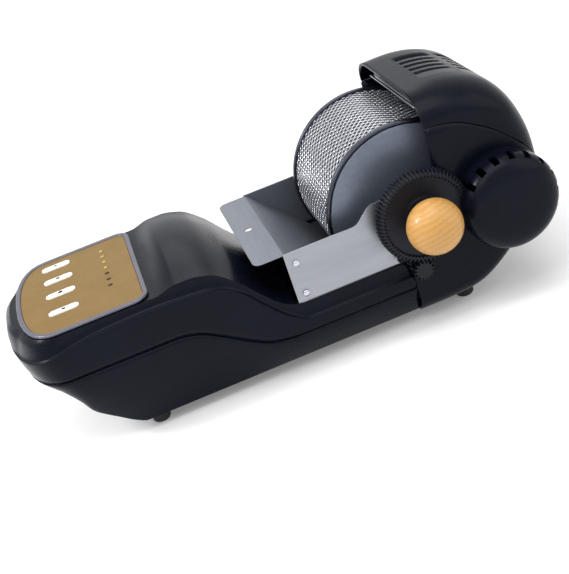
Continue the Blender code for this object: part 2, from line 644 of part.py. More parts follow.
def build_trough(root, use):
    """Steel side plates with their axle bushes, the sheet trough with its lip, and the plate screws."""
    pinion = pinion_centre()
    for side, name in ((-1.0, "near"), (1.0, "far")):
        outer, inner = side * PLATE_OUTER_Y, side * (PLATE_OUTER_Y - PLATE_THICKNESS)
        plate = side_outline(f"{name}_side_plate", plate_outline(), min(outer, inner), max(outer, inner),
                             use["brushed_steel"], root)
        low, high = min(outer, inner) - CUT_OVERRUN, max(outer, inner) + CUT_OVERRUN
        boolean(plate, turned("bush_hole", [(BUSH_RADIUS + FIT_GAP, low), (BUSH_RADIUS + FIT_GAP, high)],
                              use["ceramic"], root))
        bush_in = PLATE_OUTER_Y - PLATE_THICKNESS / 2.0 - BUSH_LENGTH / 2.0
        tube(f"{name}_axle_bush", BUSH_RADIUS, AXLE_RADIUS + RUN_GAP,
             *sorted((side * bush_in, side * (bush_in + BUSH_LENGTH))),
             use["ceramic"], root)
        if side < 0.0:
            hole = MOTOR_SHAFT_RADIUS * 2.0
            boolean(plate, turned("shaft_hole", [(hole, low), (hole, high)], use["ceramic"], root, pinion))
        seat = PLATE_OUTER_Y + FIT_GAP
        head = [(SCREW_RADIUS, side * seat), (SCREW_RADIUS, side * (seat + SCREW_HEIGHT * 0.5)),
                (SCREW_RADIUS * 0.55, side * (seat + SCREW_HEIGHT))]
        for index, z in enumerate(PLATE_SCREW_Z):
            turned(f"{name}_plate_screw_{index + 1}", head, use["bright_steel"], root, (PLATE_SCREW_X, z), 16)
    half = PLATE_OUTER_Y - PLATE_THICKNESS - FIT_GAP
    bed = DRUM_RADIUS + RIM_THICKNESS + TROUGH_CLEARANCE
    lip_end = LIP_X + LIP_LENGTH
    centre = [(LIP_X, LIP_Z), (lip_end - SHEET * 2.0, LIP_Z), (lip_end + SHEET, LIP_Z - SHEET * 2.0)]
    for step in range(9):
        turn = math.radians(212.0 + 13.0 * step)
        centre.append((bed * math.cos(turn), bed * math.sin(turn)))
    below = inward(centre + [(centre[-1][0], centre[0][1])], [-SHEET] * (len(centre) + 1))[:len(centre)]
    below[0] = (centre[0][0], centre[0][1] - SHEET)
    below[-1] = (centre[-1][0], centre[-1][1] - SHEET)
    trough = side_outline("chaff_trough", centre + list(reversed(below)), -half, half, use["brushed_steel"],
                          root)
    for side in (-1.0, 1.0):
        corner = [(LIP_X - CUT_OVERRUN, side * (half + CUT_OVERRUN)),
                  (LIP_X + LIP_CORNER, side * (half + CUT_OVERRUN))]
        for step in range(6):
            turn = math.pi / 2.0 * step / 5.0
            corner.append((LIP_X + LIP_CORNER * (1.0 - math.sin(turn)),
                           side * (half - LIP_CORNER * (1.0 - math.cos(turn)))))
        corner.append((LIP_X - CUT_OVERRUN, side * (half - LIP_CORNER)))
        boolean(trough, plan_outline("lip_corner", corner, LIP_Z - CUT_OVERRUN, LIP_Z + CUT_OVERRUN,
                                     use["ceramic"], root))
    boolean(trough, plan_outline("lip_dimple", disc_outline(LIP_X + LIP_LENGTH * 0.45, 0.0,
                                                            LIP_DIMPLE_RADIUS), LIP_Z - CUT_OVERRUN,
                                 LIP_Z + CUT_OVERRUN, use["ceramic"], root))


def pinion_centre():
    """Where the pinion turns, in mesh with the drum's gear."""
    reach = (GEAR_TEETH + PINION_TEETH) * GEAR_MODULE / 2.0 + MESH_PLAY / 2.0
    return (reach * math.cos(PINION_ANGLE), reach * math.sin(PINION_ANGLE))


def mesh_drum(name, material, parent):
    """Open lattice cylinder: bars along and around, with square gaps between them."""
    half = DRUM_LENGTH / 2.0 - RIM_WIDTH - FIT_GAP
    pitch_turn = 2.0 * math.pi / MESH_COLUMNS
    bar_turn = MESH_BAR / DRUM_RADIUS
    pitch_y = (2.0 * half - MESH_BAR) / MESH_ROWS
    turns = [value for column in range(MESH_COLUMNS) for value in (column * pitch_turn,
                                                                   column * pitch_turn + bar_turn)]
    heights = [value for row in range(MESH_ROWS + 1) for value in (-half + row * pitch_y,
                                                                   -half + row * pitch_y + MESH_BAR)]
    points, faces = [], []
    for radius in (DRUM_RADIUS, DRUM_RADIUS - DRUM_WALL):
        points += [(radius * math.cos(turn), y, radius * math.sin(turn)) for y in heights for turn in turns]
    around, along = len(turns), len(heights)
    solid = {(row, column) for row in range(along - 1) for column in range(around)
             if row % 2 == 0 or column % 2 == 0}

    def corner(layer, row, column):
        return layer * around * along + row * around + column % around

    for row, column in solid:
        square = ((row, column), (row, column + 1), (row + 1, column + 1), (row + 1, column))
        faces.append(tuple(corner(0, *place) for place in square))
        faces.append(tuple(corner(1, *place) for place in reversed(square)))
        edges = (((row - 1, column), square[0], square[1]), ((row, (column + 1) % around), square[1],
                                                             square[2]),
                 ((row + 1, column), square[2], square[3]), ((row, (column - 1) % around), square[3],
                                                             square[0]))
        for beside, start, stop in edges:
            if beside not in solid:
                faces.append((corner(0, *start), corner(0, *stop), corner(1, *stop), corner(1, *start)))
    return mesh_object(name, points, faces, material, parent)


def build_drum(root, use):
    """The drum: mesh wall, rims, end plates, vanes, axle, gear and wooden knob, all on the drum's axis."""
    axis = empty_at("drum_axis", (0.0, 0.0, 0.0), root)
    mesh_drum("drum_mesh", use["bright_steel"], axis)
    half = DRUM_LENGTH / 2.0
    plate_radius = DRUM_RADIUS - DRUM_WALL - FIT_GAP
    for side, name in ((-1.0, "near"), (1.0, "far")):
        rim = sorted((side * half, side * (half - RIM_WIDTH)))
        tube(f"drum_{name}_rim", DRUM_RADIUS + RIM_THICKNESS, plate_radius, *rim, use["bright_steel"], axis,
             sides=DRUM_SIDES)
        ends = sorted((side * half, side * (half - END_PLATE_THICKNESS)))
        tube(f"drum_{name}_end", plate_radius - FIT_GAP, AXLE_RADIUS + FIT_GAP, *ends, use["dark_steel"],
             axis, sides=DRUM_SIDES)
    inner = half - END_PLATE_THICKNESS - FIT_GAP
    for index in range(VANE_COUNT):
        vane = block(f"drum_vane_{index + 1}", (-VANE_THICKNESS / 2.0, VANE_THICKNESS / 2.0), (-inner, inner),
                     (plate_radius - VANE_HEIGHT - FIT_GAP, plate_radius - FIT_GAP), use["brushed_steel"],
                     axis)
        vane.data.transform(Matrix.Rotation(2.0 * math.pi * index / VANE_COUNT, 4, "Y"))
    far_end = PLATE_OUTER_Y + AXLE_FAR_LENGTH
    turned("drum_axle", [(AXLE_RADIUS, GEAR_BACK_Y - GEAR_FACE / 2.0), (AXLE_RADIUS, far_end)],
           use["bright_steel"], axis)
    outline = gear_outline(GEAR_TEETH, GEAR_MODULE, MESH_PLAY, 0.0)
    gear = side_outline("drum_gear", outline, GEAR_FRONT_Y + GEAR_CHAMFER, GEAR_BACK_Y, use["black_gear"],
                        axis)
    face_radius = GEAR_TEETH * GEAR_MODULE / 2.0 - GEAR_RIM + GEAR_CHAMFER
    boolean(gear, turned("gear_face", [(face_radius, GEAR_FRONT_Y),
                                       (face_radius, GEAR_FRONT_Y + GEAR_FACE / 2.0)], use["black_gear"],
                         axis, sides=DRUM_SIDES), "UNION")
    bore = [(AXLE_RADIUS + FIT_GAP, GEAR_BACK_Y - GEAR_FACE / 2.0 - FIT_GAP),
            (AXLE_RADIUS + FIT_GAP, GEAR_BACK_Y + CUT_OVERRUN)]
    boolean(gear, turned("gear_bore", bore, use["black_gear"], axis))
    neck_end = GEAR_FRONT_Y - FIT_GAP
    ball_middle = KNOB_END_Y + KNOB_REACH
    profile = [(KNOB_NECK_RADIUS, neck_end), (KNOB_NECK_RADIUS, neck_end - KNOB_NECK_LENGTH * 0.5)]
    for step in range(1, 10):
        turn = math.pi * (0.22 + 0.78 * step / 10.0)
        profile.append((KNOB_RADIUS * math.sin(turn), ball_middle + KNOB_REACH * math.cos(turn)))
    profile.append((KNOB_RADIUS * 0.10, KNOB_END_Y))
    turned("wood_knob", profile, use["beech_wood"], axis)
    pinion = pinion_centre()
    spin = empty_at("pinion_axis", (pinion[0], 0.0, pinion[1]), root)
    phase = PINION_ANGLE + math.pi + math.pi / PINION_TEETH + gear_phase()
    small = side_outline("drive_pinion", shifted(gear_outline(PINION_TEETH, GEAR_MODULE, MESH_PLAY, phase),
                                                 pinion),
                         GEAR_BACK_Y - GEAR_FACE + GEAR_CHAMFER, GEAR_BACK_Y, use["black_gear"], spin)
    motor_front = -(PLATE_OUTER_Y - PLATE_THICKNESS - FIT_GAP)
    shaft = [(MOTOR_SHAFT_RADIUS, motor_front + BUSH_LENGTH),
             (MOTOR_SHAFT_RADIUS, GEAR_BACK_Y - GEAR_CHAMFER)]
    boolean(small, turned("pinion_shaft", shaft, use["black_gear"], spin, pinion, 16), "UNION")
    body = [(DRIVE_MOTOR_RADIUS, motor_front), (DRIVE_MOTOR_RADIUS, motor_front + DRIVE_MOTOR_LENGTH)]
    motor = turned("drum_motor", body, use["motor_zinc"], root, pinion)
    hole = [(MOTOR_SHAFT_RADIUS + RUN_GAP, motor_front - CUT_OVERRUN),
            (MOTOR_SHAFT_RADIUS + RUN_GAP, motor_front + BUSH_LENGTH + FIT_GAP)]
    boolean(motor, turned("motor_bore", hole, use["motor_zinc"], root, pinion, 16))


def gear_phase():
    """How far the pinion is turned so that its gap faces the nearest tooth of the drum's gear."""
    pitch = 2.0 * math.pi / GEAR_TEETH
    offset = (PINION_ANGLE % pitch) / pitch
    return offset * 2.0 * math.pi / PINION_TEETH


def build_hinge(rear, hood, root, hood_axis, use):
    """The hood's knuckle between the rear body's two, each on its arm, and the pin through them."""
    shell = use["black_plastic"]
    centre = (HINGE_X, HINGE_Z)
    half = HOOD_KNUCKLE_LENGTH / 2.0
    pin_half = half + RUN_GAP + CASE_KNUCKLE_LENGTH
    wall_x = TAIL_LENGTH - CASE_WALL
    inner_x = HINGE_X - KNUCKLE_RADIUS * 0.8
    outer_x = HINGE_X + KNUCKLE_RADIUS * 0.8
    over_z = HINGE_Z + KNUCKLE_RADIUS + HINGE_ARM / 2.0
    hood_arm = [(wall_x, over_z), (inner_x, over_z), (inner_x, HINGE_Z), (outer_x, HINGE_Z),
                (outer_x, over_z),
                (inner_x, over_z + HINGE_ARM), (wall_x, over_z + HINGE_ARM * 2.0)]
    under_z = HINGE_Z - KNUCKLE_RADIUS
    case_arm = [(wall_x, HINGE_Z), (outer_x, HINGE_Z), (HINGE_X, under_z),
                (wall_x, under_z - HINGE_ARM * 2.0)]
    for target, owner, outline, low, high in ((hood, hood_axis, hood_arm, -half, half),
                                              (rear, root, case_arm, half + RUN_GAP, pin_half),
                                              (rear, root, case_arm, -pin_half, -half - RUN_GAP)):
        inside = FIT_GAP / 2.0
        knuckle = turned("knuckle", [(KNUCKLE_RADIUS, low), (KNUCKLE_RADIUS, high)], shell, owner, centre, 24)
        boolean(knuckle, side_outline("hinge_arm", outline, low + inside, high - inside, shell, owner),
                "UNION")
        boolean(target, knuckle, "UNION")
    bore = HINGE_PIN_RADIUS + RUN_GAP
    reach = pin_half + CUT_OVERRUN
    for target, owner in ((hood, hood_axis), (rear, root)):
        boolean(target, turned("hinge_bore", [(bore, -reach), (bore, reach)], shell, owner, centre, 16))
    turned("hinge_pin", [(HINGE_PIN_RADIUS, -pin_half), (HINGE_PIN_RADIUS, pin_half)], use["bright_steel"],
           root, centre, 16)


def build_tail(root, use):
    """The rear body, the hinged hood with its liner and grille, and the hinge between them."""
    shell = use["black_plastic"]
    hood_axis = empty_at("hood_hinge", (HINGE_X, 0.0, HINGE_Z), root)
    rear = tail_block("rear_casing", 0.0, 0.0, shell, root)
    boolean(rear, above_parting("parting", -FIT_GAP / 2.0, shell, root))
    hood = tail_block("hood", 0.0, 0.0, shell, hood_axis)
    boolean(hood, above_parting("parting", FIT_GAP / 2.0, shell, hood_axis), "INTERSECT")
    build_hinge(rear, hood, root, hood_axis, use)
    boolean(rear, tail_block("rear_hollow", CASE_WALL, CUT_OVERRUN, shell, root))
    boolean(hood, tail_block("hood_hollow", CASE_WALL, CUT_OVERRUN, shell, hood_axis))
    middle = VENT_FRONT_X + VENT_LENGTH + VENT_RIDGE / 2.0
    front_slot = (middle - VENT_RIDGE / 2.0 - VENT_LENGTH, middle - VENT_RIDGE / 2.0)
    rear_slot = (middle + VENT_RIDGE / 2.0, middle + VENT_RIDGE / 2.0 + VENT_LENGTH * 0.5)
    for row in range(VENT_COUNT):
        y = VENT_PITCH * (row - (VENT_COUNT - 1) / 2.0)
        across = (y - VENT_WIDTH / 2.0, y + VENT_WIDTH / 2.0)
        for along in (front_slot, rear_slot):
            boolean(hood, block("vent", along, across, (DRUM_RADIUS * 0.6, AXIS_HEIGHT), shell, hood_axis))
    axle_cut = AXLE_RADIUS + RUN_GAP * 2.0
    slot = [(-DRUM_RADIUS, -axle_cut)]
    for step in range(9):
        turn = -math.pi / 2.0 + math.pi * 0.75 * step / 8.0
        slot.append((axle_cut * math.cos(turn), axle_cut * math.sin(turn)))
    slot.append((-DRUM_RADIUS * 0.2, DRUM_RADIUS * 0.3))
    for side in (-1.0, 1.0):
        wall_y = sorted((side * (CASE_HALF_WIDTH - CASE_WALL - CUT_OVERRUN),
                         side * (CASE_HALF_WIDTH + CUT_OVERRUN)))
        boolean(rear, side_outline("axle_slot", slot, wall_y[0], wall_y[1], shell, root))
    hole = MOTOR_SHAFT_RADIUS * 2.0
    wall = (-CASE_HALF_WIDTH - CUT_OVERRUN, -CASE_HALF_WIDTH + CASE_WALL + CUT_OVERRUN)
    boolean(rear, turned("pinion_hole", [(hole, wall[0]), (hole, wall[1])], shell, root, pinion_centre()))
    boolean(rear, turned("fan_hole", [(hole, wall[0]), (hole, wall[1])], shell, root, (POD_X, POD_Z)))
    return rear, hood, hood_axis


def arc_band(inner, outer, first, last, steps):
    """Side outline of a bent band about the drum's axis."""
    turns = [first + (last - first) * step / steps for step in range(steps + 1)]
    out = [(outer * math.cos(turn), outer * math.sin(turn)) for turn in turns]
    back = [(inner * math.cos(turn), inner * math.sin(turn)) for turn in reversed(turns)]
    return out + back


def build_hood_inside(hood, hood_axis, use):
    """Heat liner, grille and the posts that carry the liner under the hood."""
    liner = arc_band(LINER_RADIUS, LINER_RADIUS + SHEET, LINER_FIRST, LINER_LAST, 10)
    side_outline("hood_liner", liner, -LINER_HALF_WIDTH, LINER_HALF_WIDTH, use["brushed_steel"], hood_axis)
    post_low = math.sqrt((LINER_RADIUS + SHEET) ** 2 - (POST_X - POST_RADIUS) ** 2) + FIT_GAP
    post_high = AXIS_HEIGHT * TAIL_TOP_SHARES[-2][1] - CASE_WALL / 2.0
    for side in (-1.0, 1.0):
        post = disc_outline(POST_X, side * LINER_HALF_WIDTH / 2.0, POST_RADIUS)
        boolean(hood, plan_outline("post", post, post_low, post_high, use["black_plastic"], hood_axis),
                "UNION")
    top = AXIS_HEIGHT * TAIL_TOP_SHARES[-1][1] - CASE_WALL - FIT_GAP
    low = top - GRILLE_HEIGHT
    grille = block("hood_grille", (GRILLE_X, GRILLE_X + SHEET), (-GRILLE_HALF_WIDTH, GRILLE_HALF_WIDTH),
                   (low, top), use["brushed_steel"], hood_axis)
    pitch = 2.0 * (GRILLE_HALF_WIDTH - GRILLE_BAR) / GRILLE_COLUMNS
    for column in range(GRILLE_COLUMNS):
        middle = -GRILLE_HALF_WIDTH + GRILLE_BAR + pitch * (column + 0.5)
        half = (pitch - GRILLE_BAR) / 2.0
        boolean(grille, block("grille_hole", (GRILLE_X - CUT_OVERRUN, GRILLE_X + CUT_OVERRUN),
                              (middle - half, middle + half),
                              (low + GRILLE_BAR, top - GRILLE_BAR), use["brushed_steel"], hood_axis))


def build_blower(root, use):
    """Pod on the near wall with its slots, the impeller inside it and the motor behind the wall."""
    centre = (POD_X, POD_Z)
    back = -CASE_HALF_WIDTH - FIT_GAP
    shoulder = back - POD_SIDE

    def pod_profile(inset):
        rows = [(POD_RADIUS - inset, back if not inset else back + CUT_OVERRUN),
                (POD_RADIUS - inset, shoulder + inset)]
        for step in range(1, 6):
            turn = math.pi / 2.0 * step / 5.5
            rows.append(((POD_RADIUS - inset) * math.cos(turn) ** 0.45,
                         shoulder + inset - POD_DOME * math.sin(turn)))
        return rows

    pod = turned("blower_pod", pod_profile(0.0), use["black_plastic"], root, centre, 36)
    clear = GEAR_TEETH * GEAR_MODULE / 2.0 + GEAR_MODULE + GEAR_GAP
    notch_front = GEAR_FRONT_Y - GEAR_GAP
    hollow = turned("pod_hollow", pod_profile(POD_WALL), use["black_plastic"], root, centre, 36)
    keep = [(clear + POD_WALL, back + 2.0 * CUT_OVERRUN), (clear + POD_WALL, notch_front - POD_WALL)]
    boolean(hollow, turned("notch_wall", keep, use["black_plastic"], root, sides=DRUM_SIDES))
    boolean(pod, hollow)
    boolean(pod, turned("gear_notch", [(clear, back + CUT_OVERRUN), (clear, notch_front)],
                        use["black_plastic"], root, sides=DRUM_SIDES))
    for index in range(POD_SLOTS):
        turn = 2.0 * math.pi * index / POD_SLOTS
        if -math.pi / 4.0 < math.remainder(turn, 2.0 * math.pi) < math.radians(160.0):
            slot = block("pod_slot", (-POD_SLOT_WIDTH / 2.0, POD_SLOT_WIDTH / 2.0),
                         (shoulder + POD_SLOT_LENGTH * 0.3, shoulder + POD_SLOT_LENGTH * 1.3),
                         (POD_RADIUS - POD_WALL * 2.5, POD_RADIUS + CUT_OVERRUN), use["black_plastic"], root)
            slot.data.transform(Matrix.Translation((POD_X, 0.0,
                                                    POD_Z)) @ Matrix.Rotation(math.pi / 2.0 - turn, 4, "Y"))
            boolean(pod, slot)
    axis = empty_at("impeller_axis", (POD_X, 0.0, POD_Z), root)
    disc_back = back - GEAR_GAP
    disc_front = disc_back - BLADE_THICKNESS
    fan = turned("impeller", [(IMPELLER_RADIUS, disc_back), (IMPELLER_RADIUS, disc_front)], use["black_gear"],
                 axis, centre, 36)
    motor_front = -CASE_HALF_WIDTH + CASE_WALL + FIT_GAP
    shaft = [(MOTOR_SHAFT_RADIUS, motor_front + BUSH_LENGTH), (MOTOR_SHAFT_RADIUS, disc_front)]
    boolean(fan, turned("fan_shaft", shaft, use["black_gear"], axis, centre, 16), "UNION")
    hub_radius = MOTOR_SHAFT_RADIUS * 3.0
    boolean(fan, turned("fan_hub", [(hub_radius, disc_back - BLADE_THICKNESS / 2.0),
                                    (hub_radius, disc_back - IMPELLER_WIDTH)], use["black_gear"],
                        axis, centre, 24), "UNION")
    for index in range(IMPELLER_BLADES):
        blade = block("blade", (-BLADE_THICKNESS / 2.0, BLADE_THICKNESS / 2.0),
                      (disc_back - IMPELLER_WIDTH + BLADE_THICKNESS, disc_back - BLADE_THICKNESS / 2.0),
                      (hub_radius * 0.9, IMPELLER_RADIUS - BLADE_THICKNESS / 2.0), use["black_gear"], root)
        turn = Matrix.Rotation(2.0 * math.pi * index / IMPELLER_BLADES, 4, "Y")
        blade.data.transform(Matrix.Translation((POD_X, 0.0, POD_Z)) @ turn)
        boolean(fan, blade, "UNION")
    motor = turned("blower_motor", [(BLOWER_MOTOR_RADIUS, motor_front),
                                    (BLOWER_MOTOR_RADIUS, motor_front + BLOWER_MOTOR_LENGTH)],
                   use["motor_zinc"], root, centre)
    bore = [(MOTOR_SHAFT_RADIUS + RUN_GAP, motor_front - CUT_OVERRUN),
            (MOTOR_SHAFT_RADIUS + RUN_GAP, motor_front + BUSH_LENGTH + FIT_GAP)]
    boolean(motor, turned("blower_bore", bore, use["motor_zinc"], root, centre, 16))


def build_heater(rear, root, use):
    """Three heater rods in ceramic holders on a bent reflector, behind the drum."""
    last = HEATER_FIRST + HEATER_STEP * (HEATER_COUNT - 1)
    edge = math.radians(8.0)
    reflector = arc_band(REFLECTOR_RADIUS, REFLECTOR_RADIUS + SHEET, last - edge, HEATER_FIRST + edge, 8)
    half = HEATER_HALF_LENGTH + HOLDER_THICKNESS / 2.0
    side_outline("heat_reflector", reflector, -half, half, use["bright_steel"], root)
    for side, name in ((-1.0, "near"), (1.0, "far")):
        low, high = sorted((side * (HEATER_HALF_LENGTH - HOLDER_THICKNESS / 2.0),
                            side * (HEATER_HALF_LENGTH - HOLDER_THICKNESS * 1.5)))
        band = arc_band(HEATER_CIRCLE - HEATER_RADIUS * 2.0, REFLECTOR_RADIUS - FIT_GAP, last - edge / 2.0,
                        HEATER_FIRST + edge / 2.0, 8)
        holder = side_outline(f"{name}_heater_holder", band, low, high, use["ceramic"], root)
        for index in range(HEATER_COUNT):
            turn = HEATER_FIRST + HEATER_STEP * index
            place = (HEATER_CIRCLE * math.cos(turn), HEATER_CIRCLE * math.sin(turn))
            hole = HEATER_RADIUS + RUN_GAP
            boolean(holder, turned("rod_hole", [(hole, low - CUT_OVERRUN), (hole, high + CUT_OVERRUN)],
                                   use["ceramic"], root, place, 16))
            if side < 0.0:
                rod = [(HEATER_RADIUS, -HEATER_HALF_LENGTH), (HEATER_RADIUS, HEATER_HALF_LENGTH)]
                turned(f"heater_rod_{index + 1}", rod, use["bright_steel"], root, place, 16)
    boss_middle = (HEATER_FIRST + last) / 2.0
    face_x = (REFLECTOR_RADIUS + SHEET) * math.cos(boss_middle) + FIT_GAP * 4.0
    face_z = REFLECTOR_RADIUS * math.sin(boss_middle)
    wall_x = TAIL_LENGTH * 0.94 - CASE_WALL / 2.0
    boolean(rear, block("boss", (face_x, wall_x), (-HEATER_HALF_LENGTH / 2.0, HEATER_HALF_LENGTH / 2.0),
                        (face_z - HOLDER_THICKNESS / 2.0, face_z + HOLDER_THICKNESS / 2.0),
                        use["black_plastic"], root), "UNION")


def build_feet_and_gland(rear, root, use):
    """Four rubber feet under the casings, and the gland on the far wall where the cable enters."""
    for x, row in ((FOOT_FRONT_X, "front"), (FOOT_REAR_X, "rear")):
        for side, name in ((-1.0, "near"), (1.0, "far")):
            rings = []
            for radius, z in ((FOOT_RADIUS * 0.85, -AXIS_HEIGHT),
                              (FOOT_RADIUS, -AXIS_HEIGHT + FOOT_RADIUS * 0.2),
                              (FOOT_RADIUS, CASE_BOTTOM - FIT_GAP)):
                rings.append([(px, py, z) for px, py in disc_outline(x, side * FOOT_Y, radius, 20)])
            loft(f"{row}_{name}_foot", rings, use["rubber"], root)
    seat = CASE_HALF_WIDTH + FIT_GAP
    place = (GLAND_X, GLAND_Z)
    tube("cable_gland", GLAND_RADIUS, GLAND_BORE, seat, seat + GLAND_LENGTH, use["rubber"], root, place, 24)
    hole = [(GLAND_BORE + RUN_GAP, seat - CASE_WALL - CUT_OVERRUN),
            (GLAND_BORE + RUN_GAP, seat + CUT_OVERRUN)]
    boolean(rear, turned("gland_hole", hole, use["black_plastic"], root, place, 24))


def main():
    """Builds every piece of the roaster."""
    clear_scene()
    use = {name: finish(name, *values) for name, values in FINISHES.items()}
    root = empty_at("drum_middle", ORIGIN)
    build_front(root, use)
    build_trough(root, use)
    build_drum(root, use)
    rear, hood, hood_axis = build_tail(root, use)
    build_hood_inside(hood, hood_axis, use)
    build_blower(root, use)
    build_heater(rear, root, use)
    build_feet_and_gland(rear, root, use)
    bpy.context.view_layer.update()


main()
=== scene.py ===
"""Dresses the coffee bean roaster: smooth shells, steel sheet, fine drum mesh, gear, wooden knob and keypad.

All shapes are worked out in metres about the middle of the drum, with +X towards the hood, -Y towards the
user and +Z up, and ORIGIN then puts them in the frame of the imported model.
"""
import json
import logging
import math
from dataclasses import dataclass, field
from enum import Enum
from typing import Optional, Sequence

import bmesh
import bpy
import numpy as np
from mathutils import Matrix, Vector

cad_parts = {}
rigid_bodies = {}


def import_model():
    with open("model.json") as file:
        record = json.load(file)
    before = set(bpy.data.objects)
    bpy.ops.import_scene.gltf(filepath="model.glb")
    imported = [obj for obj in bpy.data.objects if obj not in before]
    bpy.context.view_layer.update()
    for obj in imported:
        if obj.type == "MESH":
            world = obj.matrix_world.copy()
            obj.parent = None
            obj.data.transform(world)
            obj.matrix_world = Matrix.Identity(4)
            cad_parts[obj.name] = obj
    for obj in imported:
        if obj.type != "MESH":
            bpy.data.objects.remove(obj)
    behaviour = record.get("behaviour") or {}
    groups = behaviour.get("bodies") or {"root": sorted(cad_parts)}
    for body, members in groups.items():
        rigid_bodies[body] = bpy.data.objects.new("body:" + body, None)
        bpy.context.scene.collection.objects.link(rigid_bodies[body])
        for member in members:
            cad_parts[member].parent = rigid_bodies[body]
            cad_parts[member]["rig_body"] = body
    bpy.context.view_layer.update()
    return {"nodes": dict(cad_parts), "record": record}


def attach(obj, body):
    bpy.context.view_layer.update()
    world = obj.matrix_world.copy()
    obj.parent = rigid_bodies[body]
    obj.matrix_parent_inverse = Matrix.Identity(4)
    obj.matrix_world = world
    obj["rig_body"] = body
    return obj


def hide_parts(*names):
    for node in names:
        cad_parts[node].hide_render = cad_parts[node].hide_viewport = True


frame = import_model()
LOG = logging.getLogger("roaster")
ORIGIN = np.array((0.1126, 0.02285, 0.102))
SMOOTH_ANGLE = math.radians(34.0)
FLAT_ANGLE = math.radians(0.4)
DOUBLES = 0.00001
SPECK = 0.000005
BEVEL_STEPS = 2
# Share of the fine grain in a pattern, and the values between which the pattern runs
FINE_SHARE = 0.55
PATTERN_LOW, PATTERN_HIGH = 0.45, 1.05
GROWTH_TURN = (0.35, 0.2, 0.5)


def linear(code: str) -> tuple[float, float, float, float]:
    """Turns an sRGB hex colour to linear light.

    Args:
        code: The colour as six hex digits.

    Returns:
        Red, green, blue and alpha, with each channel through the sRGB curve.
    """
    parts = [int(code[place:place + 2], 16) / 255.0 for place in (0, 2, 4)]
    red, green, blue = (part / 12.92 if part <= 0.04045 else ((part + 0.055) / 1.055) ** 2.4
                        for part in parts)
    return (red, green, blue, 1.0)


class Half(Enum):
    """The two halves of the rear end, each with the name of its piece."""

    BODY = "rear_shell"
    HOOD = "hood_shell"


def add_node(tree: bpy.types.NodeTree, kind: str, settings: Optional[dict] = None,
             links: Optional[dict] = None) -> bpy.types.Node:
    """Adds one node with its settings and links.

    Args:
        tree: The material's node tree.
        kind: Blender's name of the node type.
        settings: Attribute names, or input names and numbers, with their values.
        links: Input names or numbers with the output sockets that feed them.

    Returns:
        The new node.
    """
    made = tree.nodes.new(kind)
    for key, value in (settings or {}).items():
        if isinstance(key, str) and hasattr(made, key):
            setattr(made, key, value)
        else:
            made.inputs[key].default_value = value
    for key, socket in (links or {}).items():
        tree.links.new(socket, made.inputs[key])
    return made


@dataclass(frozen=True)
class Finish:
    """One real surface, with what it is made of and how it was made.

    Attributes:
        name: What the surface is.
        colour: Its colour, sRGB hex.
        second: The colour that its pattern brings in, sRGB hex.
        roughness: Mean roughness.
        metallic: 1 for bare metal.
        grain: Size of one grain of the pattern, in metres.
        stretch: How much longer a grain is along each axis, for brushed metal and wood.
        spread: How far the pattern moves the roughness either way.
        relief: Height of the grain, in metres.
        mix: Share of the second colour at the pattern's peaks.
        coat: Weight of a clear coat.
        lustre: Specular level; 0.5 is IOR 1.5.
    """

    name: str
    colour: str
    second: str
    roughness: float
    metallic: float = 0.0
    grain: float = 0.0006
    stretch: tuple[float, float, float] = (1.0, 1.0, 1.0)
    spread: float = 0.05
    relief: float = 0.00002
    mix: float = 0.3
    coat: float = 0.0
    lustre: float = 0.5

    def build(self) -> bpy.types.Material:
        """Makes the material: grain noise for relief, broad clouds for colour and gloss.

        Returns:
            The new material.
        """
        made = bpy.data.materials.new(self.name)
        made.use_nodes = True
        tree = made.node_tree
        shader = tree.nodes["Principled BSDF"]
        place = add_node(tree, "ShaderNodeTexCoord")
        scale = tuple(1.0 / length for length in self.stretch)
        laid = add_node(tree, "ShaderNodeMapping", {"Scale": scale}, {"Vector": place.outputs["Object"]})
        fine = add_node(tree, "ShaderNodeTexNoise", {"Scale": 0.5 / self.grain, "Detail": 3.0},
                        {"Vector": laid.outputs["Vector"]})
        broad = add_node(tree, "ShaderNodeTexNoise", {"Scale": 0.02 / self.grain, "Detail": 2.0},
                         {"Vector": laid.outputs["Vector"]})
        both = add_node(tree, "ShaderNodeMath", {"operation": "MULTIPLY_ADD", 1: FINE_SHARE},
                        {0: fine.outputs["Fac"], 2: broad.outputs["Fac"]})
        even = add_node(tree, "ShaderNodeMapRange", {"From Min": PATTERN_LOW, "From Max": PATTERN_HIGH,
                                                     "To Max": self.mix},
                        {"Value": both.outputs["Value"]})
        tint = add_node(tree, "ShaderNodeMix", {"data_type": "RGBA", 6: linear(self.colour),
                                                7: linear(self.second)},
                        {0: even.outputs["Result"]})
        gloss = add_node(tree, "ShaderNodeMapRange", {"From Min": PATTERN_LOW, "From Max": PATTERN_HIGH,
                                                      "To Min": max(self.roughness - self.spread, 0.02),
                                                      "To Max": self.roughness + self.spread},
                         {"Value": both.outputs["Value"]})
        bump = add_node(tree, "ShaderNodeBump", {"Strength": 0.6, "Distance": self.relief},
                        {"Height": fine.outputs["Fac"]})
        tree.links.new(tint.outputs[2], shader.inputs["Base Color"])
        tree.links.new(gloss.outputs["Result"], shader.inputs["Roughness"])
        tree.links.new(bump.outputs["Normal"], shader.inputs["Normal"])
        shader.inputs["Metallic"].default_value = self.metallic
        shader.inputs["Coat Weight"].default_value = self.coat
        shader.inputs["Specular IOR Level"].default_value = self.lustre
        made.diffuse_color = linear(self.colour)
        return made


